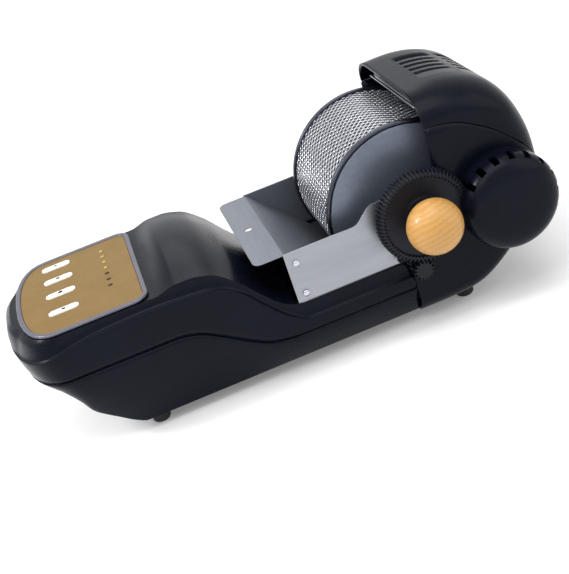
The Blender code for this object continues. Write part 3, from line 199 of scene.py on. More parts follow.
@dataclass(frozen=True)
class TurnedBeech:
    """Oiled beech turned to a ball: pale wood with short dark flecks and soft growth rings, 4 mm apart."""

    name: str = "oiled_beech"
    pale: str = "CA9952"
    dark: str = "C18F4A"
    fleck: str = "A9773B"
    ring: float = 0.0040
    fleck_length: float = 0.0030

    def build(self) -> bpy.types.Material:
        """Makes the wood: rings across the axle, flecks along the grain, and a soft oil gloss.

        Returns:
            The new material.
        """
        made = bpy.data.materials.new(self.name)
        made.use_nodes = True
        tree = made.node_tree
        shader = tree.nodes["Principled BSDF"]
        place = add_node(tree, "ShaderNodeTexCoord")
        laid = add_node(tree, "ShaderNodeMapping", {"Rotation": GROWTH_TURN},
                        {"Vector": place.outputs["Object"]})
        rings = add_node(tree, "ShaderNodeTexWave", {"wave_type": "BANDS", "bands_direction": "Z",
                                                     "Scale": 0.30 / self.ring, "Distortion": 5.0,
                                                     "Detail": 2.0,
                                                     "Detail Scale": 0.6},
                         {"Vector": laid.outputs["Vector"]})
        thin = add_node(tree, "ShaderNodeMapping", {"Scale": (0.16, 1.0, 1.0), "Rotation": GROWTH_TURN},
                        {"Vector": place.outputs["Object"]})
        flecks = add_node(tree, "ShaderNodeTexNoise", {"Scale": 4.5 / self.fleck_length, "Detail": 2.0},
                          {"Vector": thin.outputs["Vector"]})
        marks = add_node(tree, "ShaderNodeMapRange", {"From Min": 0.56, "From Max": 0.72, "To Max": 0.55},
                         {"Value": flecks.outputs["Fac"]})
        body = add_node(tree, "ShaderNodeMix", {"data_type": "RGBA", 6: linear(self.pale),
                                                7: linear(self.dark)},
                        {0: rings.outputs["Fac"]})
        wood = add_node(tree, "ShaderNodeMix", {"data_type": "RGBA", 7: linear(self.fleck)},
                        {0: marks.outputs["Result"], 6: body.outputs[2]})
        bump = add_node(tree, "ShaderNodeBump", {"Strength": 0.35, "Distance": 0.00008},
                        {"Height": flecks.outputs["Fac"]})
        tree.links.new(wood.outputs[2], shader.inputs["Base Color"])
        tree.links.new(bump.outputs["Normal"], shader.inputs["Normal"])
        shader.inputs["Roughness"].default_value = 0.42
        shader.inputs["Coat Weight"].default_value = 0.15
        made.diffuse_color = linear(self.pale)
        return made


# Spark-eroded ABS, satin: fine even grain, a little blue in its black
MOULDED_ABS = Finish("moulded_abs", "090C17", "0F1320", 0.27, grain=0.0007, relief=0.000008, mix=0.35,
                     lustre=0.10)
# Moulded nylon of the gears: duller than the shell, and greyer
MOULDED_NYLON = Finish("moulded_nylon", "0D1019", "181B26", 0.40, grain=0.0008, relief=0.000012, lustre=0.22)
# Stainless sheet brushed along the body: long fine scratches stretch the highlight
BRUSHED_STAINLESS = Finish("brushed_stainless", "9C9FA5", "83878E", 0.42, 1.0, grain=0.0005,
                           stretch=(30.0, 2.0, 1.0), spread=0.08, relief=0.000006, mix=0.5)
# The lip, trough and far plate: the stainless made rougher and more even than the near plate, with a darker
# colour that is painted shade
SHADED_STAINLESS = Finish("shaded_stainless", "868A92", "6E727B", 0.55, 1.0, grain=0.0006,
                          stretch=(1.0, 24.0, 1.0), spread=0.06, relief=0.000006, mix=0.6)
# Polished stainless of rims, wire and screws
BRIGHT_STAINLESS = Finish("bright_stainless", "C6C8CE", "A9ABB3", 0.22, 1.0, grain=0.0010, spread=0.06,
                          mix=0.5)
# The inside of the wire mesh: a near-black colour that is painted shade of the drum's inside, so that the
# holes read dark
PAINTED_SHADE_STEEL = Finish("painted_shade_steel", "191618", "0E0C0D", 0.60, 0.4, grain=0.0012, mix=0.6)
# Steel that has been hot: blue-grey with soft clouds
HEAT_TINTED_STEEL = Finish("heat_tinted_steel", "7C8591", "5F6377", 0.46, 0.7, grain=0.0016, spread=0.08,
                           mix=0.7)
# Rolled rims, tinted darker than the discs and smoother, so that only their crest shines
TINTED_RIM = Finish("tinted_rim", "4B4E59", "34363F", 0.28, 1.0, grain=0.0012, spread=0.05, mix=0.6)
# Screen-printed film with metallic ink: warm brown gold, satin
PRINTED_FILM = Finish("gold_film", "806535", "715729", 0.42, 0.10, grain=0.0004, relief=0.000004, mix=0.45,
                      lustre=0.2)
# Painted ABS frame: grey metallic lacquer
SILVER_LACQUER = Finish("silver_lacquer", "5E5D6A", "504F5C", 0.34, 0.45, grain=0.0004, relief=0.000005,
                        mix=0.4,
                        coat=0.15)
WHITE_ABS = Finish("white_abs", "F7F6F0", "ECEAE2", 0.34, grain=0.0008, relief=0.000006)
AMBER_LENS = Finish("amber_lens", "B59C2C", "9A8322", 0.26, grain=0.0006, relief=0.000004, coat=0.2)
RED_LENS = Finish("red_lens", "32130D", "210C08", 0.30, grain=0.0006, relief=0.000004, lustre=0.2)
MOULDED_RUBBER = Finish("moulded_rubber", "17171A", "222226", 0.75, grain=0.0009, relief=0.00003)
FIRED_CERAMIC = Finish("fired_ceramic", "DCD6C6", "C4BCA8", 0.70, grain=0.0007, relief=0.00002)
CIRCUIT_RESIN = Finish("circuit_resin", "1E5A34", "164427", 0.45, grain=0.0020, mix=0.8, coat=0.3)
ZINC_CAN = Finish("zinc_can", "9C9C98", "85857F", 0.40, 1.0, grain=0.0015, mix=0.6)
KEY_INK = Finish("key_ink", "15140F", "0F0E0A", 0.50, grain=0.0006, relief=0.000003, lustre=0.2)


def put_in_scene(name: str, data: bpy.types.ID) -> bpy.types.Object:
    """Makes an object and links it to the scene.

    Args:
        name: The object's name.
        data: Its mesh, camera or lamp.

    Returns:
        The new object.
    """
    made = bpy.data.objects.new(name, data)
    bpy.context.scene.collection.objects.link(made)
    return made


def round_edges(made: bpy.types.Object, width: float, harden: bool = False) -> None:
    """Rounds an object's sharp edges.

    Args:
        made: The object.
        width: Width of the rounding.
        harden: Whether flat faces keep their own normals.
    """
    rounding = made.modifiers.new("rounding", "BEVEL")
    rounding.width = width
    rounding.segments = BEVEL_STEPS
    rounding.limit_method = "ANGLE"
    rounding.angle_limit = SMOOTH_ANGLE
    rounding.harden_normals = harden


def stand_for(node: str) -> None:
    """Hides the CAD node that a new piece stands for.

    Args:
        node: The CAD node.
    """
    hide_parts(node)


def grid_faces(rows: int, columns: int, wrap: bool = False, keep: Optional[np.ndarray] = None) -> np.ndarray:
    """Quads of a grid of points, row after row.

    Args:
        rows: Number of rows of points.
        columns: Number of points in a row.
        wrap: Whether the last column joins the first.
        keep: Which cells stay, for slots and windows.

    Returns:
        Whole array of point numbers, four to a face.
    """
    across = columns if wrap else columns - 1
    row, column = np.meshgrid(np.arange(rows - 1), np.arange(across), indexing="ij")
    if keep is not None:
        row, column = row[keep], column[keep]
    row, column = row.ravel(), column.ravel()
    after = (column + 1) % columns
    return np.stack((row * columns + column, row * columns + after, (row + 1) * columns + after,
                     (row + 1) * columns + column), axis=1)


@dataclass
class Skin:
    """Points and faces that are gathered before they become one mesh."""

    points: list = field(default_factory=list)
    faces: list = field(default_factory=list)
    count: int = 0

    def add(self, points: np.ndarray, faces: Sequence[Sequence[int]]) -> "Skin":
        """Adds points, of any grid shape, and the faces between them.

        Args:
            points: The points.
            faces: Numbers of each face's points, from 0.

        Returns:
            This skin.
        """
        flat = np.asarray(points, dtype=float).reshape(-1, 3)
        self.points.append(flat)
        self.faces += [[int(corner) + self.count for corner in face] for face in faces]
        self.count += len(flat)
        return self

    def grid(self, points: np.ndarray, wrap: bool = False, keep: Optional[np.ndarray] = None) -> "Skin":
        """Adds a grid of points with shape (rows, columns, 3).

        Args:
            points: The grid.
            wrap: Whether the last column joins the first.
            keep: Which cells stay.

        Returns:
            This skin.
        """
        return self.add(points, grid_faces(points.shape[0], points.shape[1], wrap, keep))

    def build(self, name: str, material: bpy.types.Material, body: str, wall: float = 0.0,
              bevel: float = 0.0, outward: Optional[tuple[float, float, float]] = None) -> bpy.types.Object:
        """Makes the mesh, joins its doubles, turns its faces out, and lets it ride on a body.

        Args:
            name: The piece's name.
            material: Its finish.
            body: The body that it rides on.
            wall: Thickness that an open skin gets, inwards.
            bevel: Width of the rounding on sharp edges.
            outward: For an open skin, a point inside it, so that faces point away from it.

        Returns:
            The new object, at the origin.
        """
        mesh = bpy.data.meshes.new(name)
        places = np.concatenate(self.points) + ORIGIN
        mesh.from_pydata(places.tolist(), [], self.faces)
        skin = bmesh.new()
        skin.from_mesh(mesh)
        bmesh.ops.remove_doubles(skin, verts=skin.verts, dist=DOUBLES)
        bmesh.ops.dissolve_degenerate(skin, edges=skin.edges, dist=SPECK)
        bmesh.ops.recalc_face_normals(skin, faces=skin.faces)
        if outward is not None:
            inside = Vector(np.array(outward) + ORIGIN)
            lean = sum((part.calc_center_median() - inside).dot(part.normal) * part.calc_area()
                       for part in skin.faces)
            if lean < 0.0:
                bmesh.ops.reverse_faces(skin, faces=skin.faces)
        skin.to_mesh(mesh)
        skin.free()
        mesh.materials.append(material)
        mesh.shade_smooth()
        mesh.set_sharp_from_angle(angle=SMOOTH_ANGLE)
        made = put_in_scene(name, mesh)
        if wall:
            change = made.modifiers.new("wall", "SOLIDIFY")
            change.thickness = wall
            change.offset = -1.0
        if bevel:
            round_edges(made, bevel, harden=True)
        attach(made, body)
        return made


def smooth_line(shares: Sequence[tuple[float, float]], places: np.ndarray) -> np.ndarray:
    """A smooth curve through pairs, with no overshoot: cubic pieces with harmonic-mean slopes.

    Args:
        shares: Places along the curve, and its values there.
        places: Where the curve is read.

    Returns:
        The curve's values.
    """
    known = np.array(shares, dtype=float)
    width = np.diff(known[:, 0])
    slope = np.diff(known[:, 1]) / width
    product = slope[:-1] * slope[1:]
    total = slope[:-1] + slope[1:]
    inner = np.where(product > 0.0, 2.0 * product / np.where(total == 0.0, 1.0, total), 0.0)
    tangent = np.concatenate(([0.0], inner, [0.0]))
    step = np.clip(np.searchsorted(known[:, 0], places) - 1, 0, len(known) - 2)
    part = (np.clip(places, known[0, 0], known[-1, 0]) - known[step, 0]) / width[step]
    start, stop = known[step, 1], known[step + 1, 1]
    return ((1.0 + 2.0 * part) * (1.0 - part) ** 2 * start
            + part * (1.0 - part) ** 2 * width[step] * tangent[step]
            + part ** 2 * (3.0 - 2.0 * part) * stop
            + part ** 2 * (part - 1.0) * width[step] * tangent[step + 1])


def even_line(points: Sequence[tuple[float, float]], count: int, rounds: int = 2) -> np.ndarray:
    """A rounded line through an outline: corners cut twice by Chaikin's rule, then evenly spaced.

    Args:
        points: The outline's corners.
        count: How many points come out.
        rounds: How often the corners are cut.

    Returns:
        The points, from the first corner to the last.
    """
    line = np.array(points, dtype=float)
    for _ in range(rounds):
        first = line[:-1] * 0.75 + line[1:] * 0.25
        second = line[:-1] * 0.25 + line[1:] * 0.75
        middle = np.stack((first, second), axis=1).reshape(-1, line.shape[1])
        line = np.concatenate((line[:1], middle[1:-1], line[-1:]))
    return resample(line, count)


def resample(line: np.ndarray, count: int) -> np.ndarray:
    """Points at equal steps along a line.

    Args:
        line: The line's points.
        count: How many points come out.

    Returns:
        The new points, with both ends kept.
    """
    length = np.concatenate(([0.0], np.cumsum(np.linalg.norm(np.diff(line, axis=0), axis=1))))
    wanted = np.linspace(0.0, length[-1], count)
    return np.stack([np.interp(wanted, length, line[:, axis]) for axis in range(line.shape[1])], axis=1)


def lathe(profile: np.ndarray, sides: int, centre: tuple[float, float] = (0.0, 0.0)) -> np.ndarray:
    """Turns a profile about an axis along Y: x and z are radius times cosine and sine of the turn.

    Args:
        profile: Radius and y, point by point.
        sides: Points around.
        centre: X and Z of the axis.

    Returns:
        A grid of points, a row for each point of the profile.
    """
    turn = np.arange(sides) * (2.0 * math.pi / sides)
    radius, height = profile[:, 0][:, None], profile[:, 1][:, None]
    return np.stack((centre[0] + radius * np.cos(turn), height + 0.0 * turn,
                     centre[1] + radius * np.sin(turn)), axis=2)


def dress_copy(node: str, name: str, material: bpy.types.Material, bevel: float = 0.0) -> None:
    """A merged copy of a CAD node with rounded edges, which stands for the node.

    Args:
        node: The CAD node.
        name: The new piece's name.
        material: Its finish.
        bevel: Width of the rounding on its edges.
    """
    source = frame["nodes"][node]
    skin = bmesh.new()
    skin.from_mesh(source.data)
    bmesh.ops.remove_doubles(skin, verts=skin.verts, dist=SPECK)
    bmesh.ops.dissolve_limit(skin, angle_limit=FLAT_ANGLE, verts=skin.verts, edges=skin.edges)
    mesh = bpy.data.meshes.new(name)
    skin.to_mesh(mesh)
    skin.free()
    mesh.materials.append(material)
    mesh.shade_smooth()
    mesh.set_sharp_from_angle(angle=SMOOTH_ANGLE)
    made = put_in_scene(name, mesh)
    if bevel:
        round_edges(made, bevel)
    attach(made, source["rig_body"])
    stand_for(node)


@dataclass
class FrontBody:
    """The long low front body, from the keypad's nose over the hump to the ledges beside the trough."""

    nose_x: float = -0.346
    end_x: float = -0.0200
    half_width: float = 0.082
    nose_length: float = 0.040
    nose_power: float = 2.3
    bottom: float = -0.092
    height: float = 0.123
    cove: float = 0.0055
    edge_round: float = 0.0012
    keel_inset: float = 0.014
    split: float = 0.0005
    swell: float = 0.0075
    swell_fall: float = 0.034
    trough_x: float = -0.1183
    wall: float = 0.0024
    centre_shares: tuple = ((0.0, 0.882), (0.37, 0.882), (0.395, 0.935), (0.425, 0.985), (0.46, 0.985),
                            (0.515, 0.945), (0.57, 0.835), (0.62, 0.680), (0.67, 0.510), (0.715, 0.440),
                            (1.0, 0.440))
    shoulder_shares: tuple = ((0.0, 0.882), (0.37, 0.882), (0.425, 0.915), (0.46, 0.915), (0.515, 0.880),
                              (0.57, 0.765), (0.62, 0.600), (0.67, 0.470), (0.715, 0.430), (1.0, 0.430))
    edge_shares: tuple = ((0.0, 0.735), (0.10, 0.770), (0.22, 0.815), (0.35, 0.825), (0.47, 0.810),
                          (0.52, 0.780),
                          (0.57, 0.690), (0.62, 0.530), (0.67, 0.390), (0.715, 0.325), (1.0, 0.325))
    parting_shares: tuple = ((0.0, 0.560), (0.38, 0.555), (0.43, 0.530), (0.49, 0.440), (0.55, 0.330),
                             (0.61, 0.250),
                             (0.67, 0.230), (1.0, 0.230))
    keel_shares: tuple = ((0.0, 0.480), (0.03, 0.430), (0.06, 0.360), (0.092, 0.290), (0.13, 0.195),
                          (0.17, 0.110),
                          (0.21, 0.030), (0.235, 0.0), (1.0, 0.0))

    def outline(self) -> tuple[np.ndarray, np.ndarray]:
        """Plan line of the near side from the nose's tip to the rear end, with its outward directions.

        The nose is a superellipse: (1 - x / length)^p + (y / width)^p = 1. The sides behind it are straight.

        Returns:
            Points and unit directions, each as x and y.
        """
        turn = np.linspace(0.0, math.pi / 2.0, 30)
        along = self.nose_length * (1.0 - np.cos(turn) ** (2.0 / self.nose_power))
        across = self.half_width * np.sin(turn) ** (2.0 / self.nose_power)
        straight = np.linspace(self.nose_x + self.nose_length, self.end_x, 92)[1:]
        straight[np.argmin(np.abs(straight - self.trough_x))] = self.trough_x
        x = np.concatenate((self.nose_x + along, straight))
        y = -np.concatenate((across, np.full(len(straight), self.half_width)))
        points = np.stack((x, y), axis=1)
        run = np.gradient(points, axis=0)
        run[0] = (0.0, -1.0)
        run[30:] = (1.0, 0.0)
        run /= np.linalg.norm(run, axis=1)[:, None]
        return points, np.stack((run[:, 1], -run[:, 0]), axis=1)

    def level(self, shares: tuple, x: np.ndarray) -> np.ndarray:
        """Height of one of the body's lines.

        Args:
            shares: The line, in shares of the body's length and height.
            x: Where it is read.

        Returns:
            The heights.
        """
        return self.bottom + self.height * smooth_line(shares, (x - self.nose_x) / (self.end_x - self.nose_x))

    def band(self, depth: np.ndarray, heights: np.ndarray) -> np.ndarray:
        """Carries a flank profile around the nose: the plan line less its outward direction times depth.

        Args:
            depth: How far in from the outline each point of the profile lies, row by row.
            heights: Its height, row by row.

        Returns:
            A grid from the near side's rear end around the nose to the far side's rear end.
        """
        points, out = self.outline()
        x = points[:, 0][:, None] - out[:, 0][:, None] * depth
        y = points[:, 1][:, None] - out[:, 1][:, None] * depth
        near = np.stack((x, np.minimum(y, 0.0), heights), axis=2)
        far = near * np.array((1.0, -1.0, 1.0))
        return np.concatenate((near[::-1], far[1:]), axis=0)

    def lid(self, line: np.ndarray, centre: np.ndarray, columns: int, keep_from: Optional[float]) -> tuple:
        """Closes the space between the near line and its mirror with a crowned sheet.

        Args:
            line: Points of the near line, from the nose to the rear end.
            centre: Height at the middle of each row.
            columns: Points across.
            keep_from: X behind which the sheet is left open, or None.

        Returns:
            The grid of points and which cells stay.
        """
        share = np.linspace(-1.0, 1.0, columns)
        crown = (1.0 - share ** 2) ** 1.2
        y = -line[:, 1][:, None] * share
        z = line[:, 2][:, None] + (centre - line[:, 2])[:, None] * crown
        x = line[:, 0][:, None] + 0.0 * share
        cells = np.ones((len(line) - 1, columns - 1), dtype=bool)
        if keep_from is not None:
            cells[line[:-1, 0] > keep_from - 0.0002, :] = False
        return np.stack((x, y, z), axis=2), cells

    def build(self, shell: bpy.types.Material) -> None:
        """Builds the upper and lower casing."""
        points, out = self.outline()
        x = points[:, 0]
        centre, shoulder = self.level(self.centre_shares, x), self.level(self.shoulder_shares, x)
        edge, parting = self.level(self.edge_shares, x), self.level(self.parting_shares, x)
        keel = self.level(self.keel_shares, x)
        tight = np.clip((x - self.nose_x) / 0.004, 0.15, 1.0)[:, None]
        rise = np.linspace(0.0, 1.0, 7)
        side_z = (parting + self.split / 2.0)[:, None] * (1.0 - rise) + (edge - self.edge_round)[:,
                                                                                                 None] * rise
        side_d = 0.0006 * (2.0 * rise - 1.0) ** 2 + 0.0 * side_z
        turn = np.linspace(0.0, math.pi / 2.0, 5)[1:]
        round_d = side_d[:, -1:] + self.edge_round * (1.0 - np.cos(turn))
        round_z = edge[:, None] - self.edge_round * (1.0 - np.sin(turn))
        sweep = np.linspace(0.0, math.pi / 2.0, 11)[1:]
        cove_d = round_d[:, -1:] + (self.cove - self.edge_round - 0.0006) * np.sin(sweep)
        cove_z = edge[:, None] + (shoulder - edge)[:, None] * (1.0 - np.cos(sweep))
        depth = np.concatenate((side_d, round_d + 0.0 * edge[:, None], cove_d + 0.0 * edge[:, None]), axis=1)
        heights = np.concatenate((side_z, round_z, cove_z), axis=1)
        ahead = np.maximum(0.0, -out[:, 0])[:, None] * self.swell
        share_up = np.clip((shoulder[:, None] - heights) / (shoulder - edge)[:, None], 0.0, 1.0)
        share_low = np.clip((edge[:, None] - heights) / self.swell_fall, 0.0, 1.0)
        bulge = np.sqrt(1.0 - (1.0 - share_up) ** 2) * (1.0 - share_low)
        upper = Skin()
        band = self.band(depth * tight - ahead * bulge, heights)
        upper.grid(band)
        near_line = band[:len(x), -1][::-1]
        top, cells = self.lid(near_line, centre, 25, self.trough_x)
        upper.grid(top, keep=cells)
        made = upper.build("upper_shell", shell, "casing", self.wall, outward=(-0.18, 0.0, -0.03))
        stand_for("upper_casing")
        fall = np.linspace(0.0, 1.0, 16)
        hull_d = (self.keel_inset * 0.9) * fall ** 1.5 + 0.0 * edge[:, None]
        hull_z = (parting - self.split / 2.0)[:, None] + (keel + 0.002 - parting + self.split / 2.0)[:,
                None] * fall
        bend = np.linspace(0.0, 1.0, 5)[1:]
        foot_d = hull_d[:, -1:] + 0.0045 * bend ** 0.8
        foot_z = (keel + 0.002)[:, None] - 0.002 * (1.0 - (1.0 - bend) ** 2)
        heights = np.concatenate((hull_z, foot_z), axis=1)
        bulge = 1.0 - np.clip((edge[:, None] - heights) / self.swell_fall, 0.0, 1.0)
        band = self.band(np.concatenate((hull_d, foot_d), axis=1) * tight - ahead * bulge, heights)
        lower = Skin().grid(band)
        near_line = band[:len(x), -1][::-1]
        base, cells = self.lid(near_line, keel, 15, None)
        lower.grid(base)
        made = lower.build("lower_shell", shell, "casing", self.wall, outward=(-0.18, 0.0, -0.03))
        stand_for("lower_casing")


@dataclass
class RearBody:
    """The rear body and the hood above its shoulder line, with rounded flanks and slots in the hood's top."""

    length: float = 0.112
    axis_height: float = 0.102
    half_width: float = 0.082
    rounding: float = 0.036
    wall: float = 0.0024
    front_x: float = -0.0197
    split: float = 0.0006
    vent_rows: int = 5
    vent_pitch: float = 0.012
    vent_width: float = 0.0030
    vents_x: tuple = ((0.041, 0.071), (0.078, 0.093))
    bottom_shares: tuple = ((-0.1759, -0.902), (0.312, -0.902), (0.56, -0.745), (0.80, -0.510),
                            (0.955, -0.216),
                            (1.0, 0.045))
    top_shares: tuple = ((0.992, 0.30), (0.935, 0.54), (0.85, 0.70), (0.74, 0.80), (0.59, 0.872),
                         (0.40, 0.907),
                         (0.180, 0.902))
    round_shares: tuple = ((-1.0, 0.50, 1.00), (-0.216, 0.50, 1.00), (0.045, 0.54, 0.96), (0.30, 0.68, 0.82),
                           (0.54, 0.86, 0.71), (0.70, 1.00, 0.65), (1.0, 1.00, 0.65))
    front_shares: tuple = ((-0.1759, -0.365), (-0.260, -0.362), (-0.275, -0.32), (-0.062, 0.02),
                           (0.062, 0.13),
                           (0.180, 0.32), (0.180, 0.664))
    parting_shares: tuple = ((0.10, 0.665), (0.23, 0.660), (0.39, 0.627), (0.59, 0.510), (0.70, 0.421),
                             (0.885, 0.206), (0.965, 0.085), (1.10, 0.052))

    def scaled(self, shares: Sequence[tuple[float, float]]) -> np.ndarray:
        """Turns shares to metres."""
        return np.array(shares) * np.array((self.length, self.axis_height))

    def back_line(self) -> tuple[np.ndarray, np.ndarray]:
        """Side line from the bottom front corner round the back to the top one, with inward directions."""
        line = even_line(self.scaled(self.bottom_shares + self.top_shares), 240, 3)
        run = np.gradient(line, axis=0)
        run /= np.linalg.norm(run, axis=1)[:, None]
        return line, np.stack((-run[:, 1], run[:, 0]), axis=1)

    def parting_height(self, x: np.ndarray) -> np.ndarray:
        """Height of the line between the hood and the rear body."""
        return smooth_line([tuple(pair) for pair in self.scaled(self.parting_shares)], x)

    def crossing(self, line: np.ndarray, shift: float) -> float:
        """Finds where a line rises through the parting line.

        Args:
            line: Points of the line, as x and z.
            shift: How far above the parting line it is measured.

        Returns:
            The share along the line.
        """
        over = line[:, 1] - self.parting_height(line[:, 0]) - shift
        place = int(np.argmax((over[1:] >= 0.0) & (over[:-1] < 0.0) & (line[1:, 0] > 0.0)))
        return (place + over[place] / (over[place] - over[place + 1])) / (len(line) - 1)

    def skin(self, half: Half) -> Skin:
        """The open skin of the hood or the rear body.

        A point is the side line moved inwards by r (1 - sin v) and outwards along Y by r cos v, from the
        middle over the rounded flank. Flat flanks are ruled from there to the front edge and parting line.

        Args:
            half: Which half; the hood gets slots.

        Returns:
            The gathered points and faces.
        """
        upper = half is Half.HOOD
        line, inward = self.back_line()
        shares = np.array(self.round_shares)
        wide = self.rounding * np.interp(line[:, 1] / self.axis_height, shares[:, 0], shares[:, 1])
        deep = wide * np.interp(line[:, 1] / self.axis_height, shares[:, 0], shares[:, 2])
        flat = self.half_width - wide
        turns = np.linspace(0.0, math.pi / 2.0, 13)[1:]
        edges = [self.vent_pitch * (row - (self.vent_rows - 1) / 2.0) + side * self.vent_width / 2.0
                 for row in range(self.vent_rows) for side in (-1.0, 1.0)]
        inner = [-0.038] + edges + [0.038]
        near = [-(flat + wide * np.sin(turn)) for turn in turns[::-1]] + [-flat]
        across = near + [np.full(len(line), y) for y in inner] + [-row for row in near[::-1]]
        drop = [deep * (1.0 - math.cos(turn)) for turn in turns[::-1]] + [0.0 * deep]
        drop = drop + [0.0 * deep for _ in inner] + drop[::-1]
        shift = self.split / 2.0 if upper else -self.split / 2.0
        share = np.linspace(0.0, 1.0, len(line))
        steps = np.linspace(0.0, 1.0, 61)
        start = self.crossing(line, shift)
        if upper:
            ends = [np.interp(-end, -line[150:, 0], share[150:]) for pair in self.vents_x for end in pair]
            for place in [(end - start) / (1.0 - start) for end in ends]:
                steps[np.argmin(np.abs(steps - place))] = place
        rows = []
        for side_y, depth in zip(across, drop):
            moved = line + inward * depth[:, None]
            cut = self.crossing(moved, shift)
            taken = cut + (1.0 - cut) * steps if upper else cut * steps
            rows.append(np.stack([np.interp(taken, share, values) for values in (moved[:, 0], side_y,
                                                                                 moved[:, 1])],
                                 axis=1))
        points = np.array(rows)
        sheet = points[:, :, [0, 2]]
        keep = np.ones((len(drop) - 1, len(steps) - 1), dtype=bool)
        if upper:
            first = len(turns) + 2
            for row in range(self.vent_rows):
                for pair in self.vents_x:
                    inside = (sheet[len(turns), :-1, 0] <= pair[1] + 0.0001) & (sheet[len(turns), 1:,
                                                                                      0] >= pair[0] - 0.0001)
                    inside &= sheet[len(turns), :-1, 1] > 0.04
                    keep[first + 2 * row, inside] = False
        skin = Skin().grid(points, keep=keep)
        edge = sheet[0]
        if upper:
            x = np.linspace(edge[0, 0], self.length * self.front_shares[-1][0], 60)
            border = np.concatenate((np.stack((x, self.parting_height(x) + shift), axis=1), edge[-1:]))
        else:
            x = np.linspace(self.length * self.front_shares[-1][0], edge[-1, 0], 60)
            front = even_line(self.scaled(self.front_shares), 60, 2)
            border = np.concatenate((edge[:1], front, np.stack((x, self.parting_height(x) + shift),
                                                               axis=1)[1:]))
        border = resample(border, len(steps))
        border[0], border[-1] = edge[0], edge[-1]
        ruled = edge[:, None, :] * (1.0 - steps[None, ::6, None]) + border[:, None, :] * steps[None, ::6,
                                                                                               None]
        for side in (-1.0, 1.0):
            flank = np.stack((ruled[:, :, 0], side * self.half_width + 0.0 * ruled[:, :, 0], ruled[:, :, 1]),
                             axis=2)
            skin.grid(flank)
        return skin

    def build(self, shell: bpy.types.Material) -> None:
        """Builds the rear shell and the hood shell."""
        made = self.skin(Half.BODY).build(Half.BODY.value, shell, "casing", self.wall,
                                          outward=(0.04, 0.0, 0.0))
        stand_for("rear_casing")
        made = self.skin(Half.HOOD).build(Half.HOOD.value, shell, "hood", self.wall,
                                          outward=(0.05, 0.0, 0.02))
        stand_for("hood")


@dataclass
class Hinge:
    """Knuckles at the back: the hood's in the middle and the rear body's on both sides, each on its arm."""

    x: float = 0.1170
    z: float = 0.0040
    radius: float = 0.0038
    bore: float = 0.0019
    wall_x: float = 0.1105

    def knuckle(self, low: float, high: float, upward: bool, name: str, body: str,
                shell: bpy.types.Material) -> bpy.types.Object:
        """A knuckle with its arm: the arm's outline is tangent to the round and runs to the wall.

        Args:
            low: Y of its near end.
            high: Y of its far end.
            upward: Whether the arm rises.
            name: The piece's name.
            body: The body that it rides on.
            shell: Its finish.

        Returns:
            The new object.
        """
        profile = np.array(((self.bore, low), (self.radius, low), (self.radius, high), (self.bore, high),
                            (self.bore, low)))
        skin = Skin().grid(lathe(profile, 32, (self.x, self.z)), wrap=True)
        lift = 1.0 if upward else -1.0
        arm = np.array(((self.x - self.radius * 0.75, self.z + lift * self.radius * 0.72),
                        (self.x + self.radius * 0.75, self.z + lift * self.radius * 0.72),
                        (self.x - self.radius * 0.3, self.z + lift * (self.radius + 0.0048)),
                        (self.wall_x, self.z + lift * (self.radius + 0.0090)),
                        (self.wall_x, self.z + lift * (self.radius + 0.0022)),
                        (self.x - self.radius * 0.95, self.z + lift * (self.radius + 0.0018))))
        ends = [np.stack((arm[:, 0], np.full(len(arm), y), arm[:, 1]), axis=1) for y in (low + 0.0003,
                                                                                         high - 0.0003)]
        count = len(arm)
        faces = [list(range(count)), list(range(count, 2 * count))]
        faces += [[i, (i + 1) % count, (i + 1) % count + count, i + count] for i in range(count)]
        skin.add(np.concatenate(ends), faces)
        made = skin.build(name, shell, body, bevel=0.0003)
        return made

    def build(self, shell: bpy.types.Material) -> None:
        """Builds the three knuckles."""
        self.knuckle(-0.020, 0.020, True, "hood_knuckle", "hood", shell)
        self.knuckle(0.0204, 0.0344, False, "far_knuckle", "casing", shell)
        self.knuckle(-0.0344, -0.0204, False, "near_knuckle", "casing", shell)


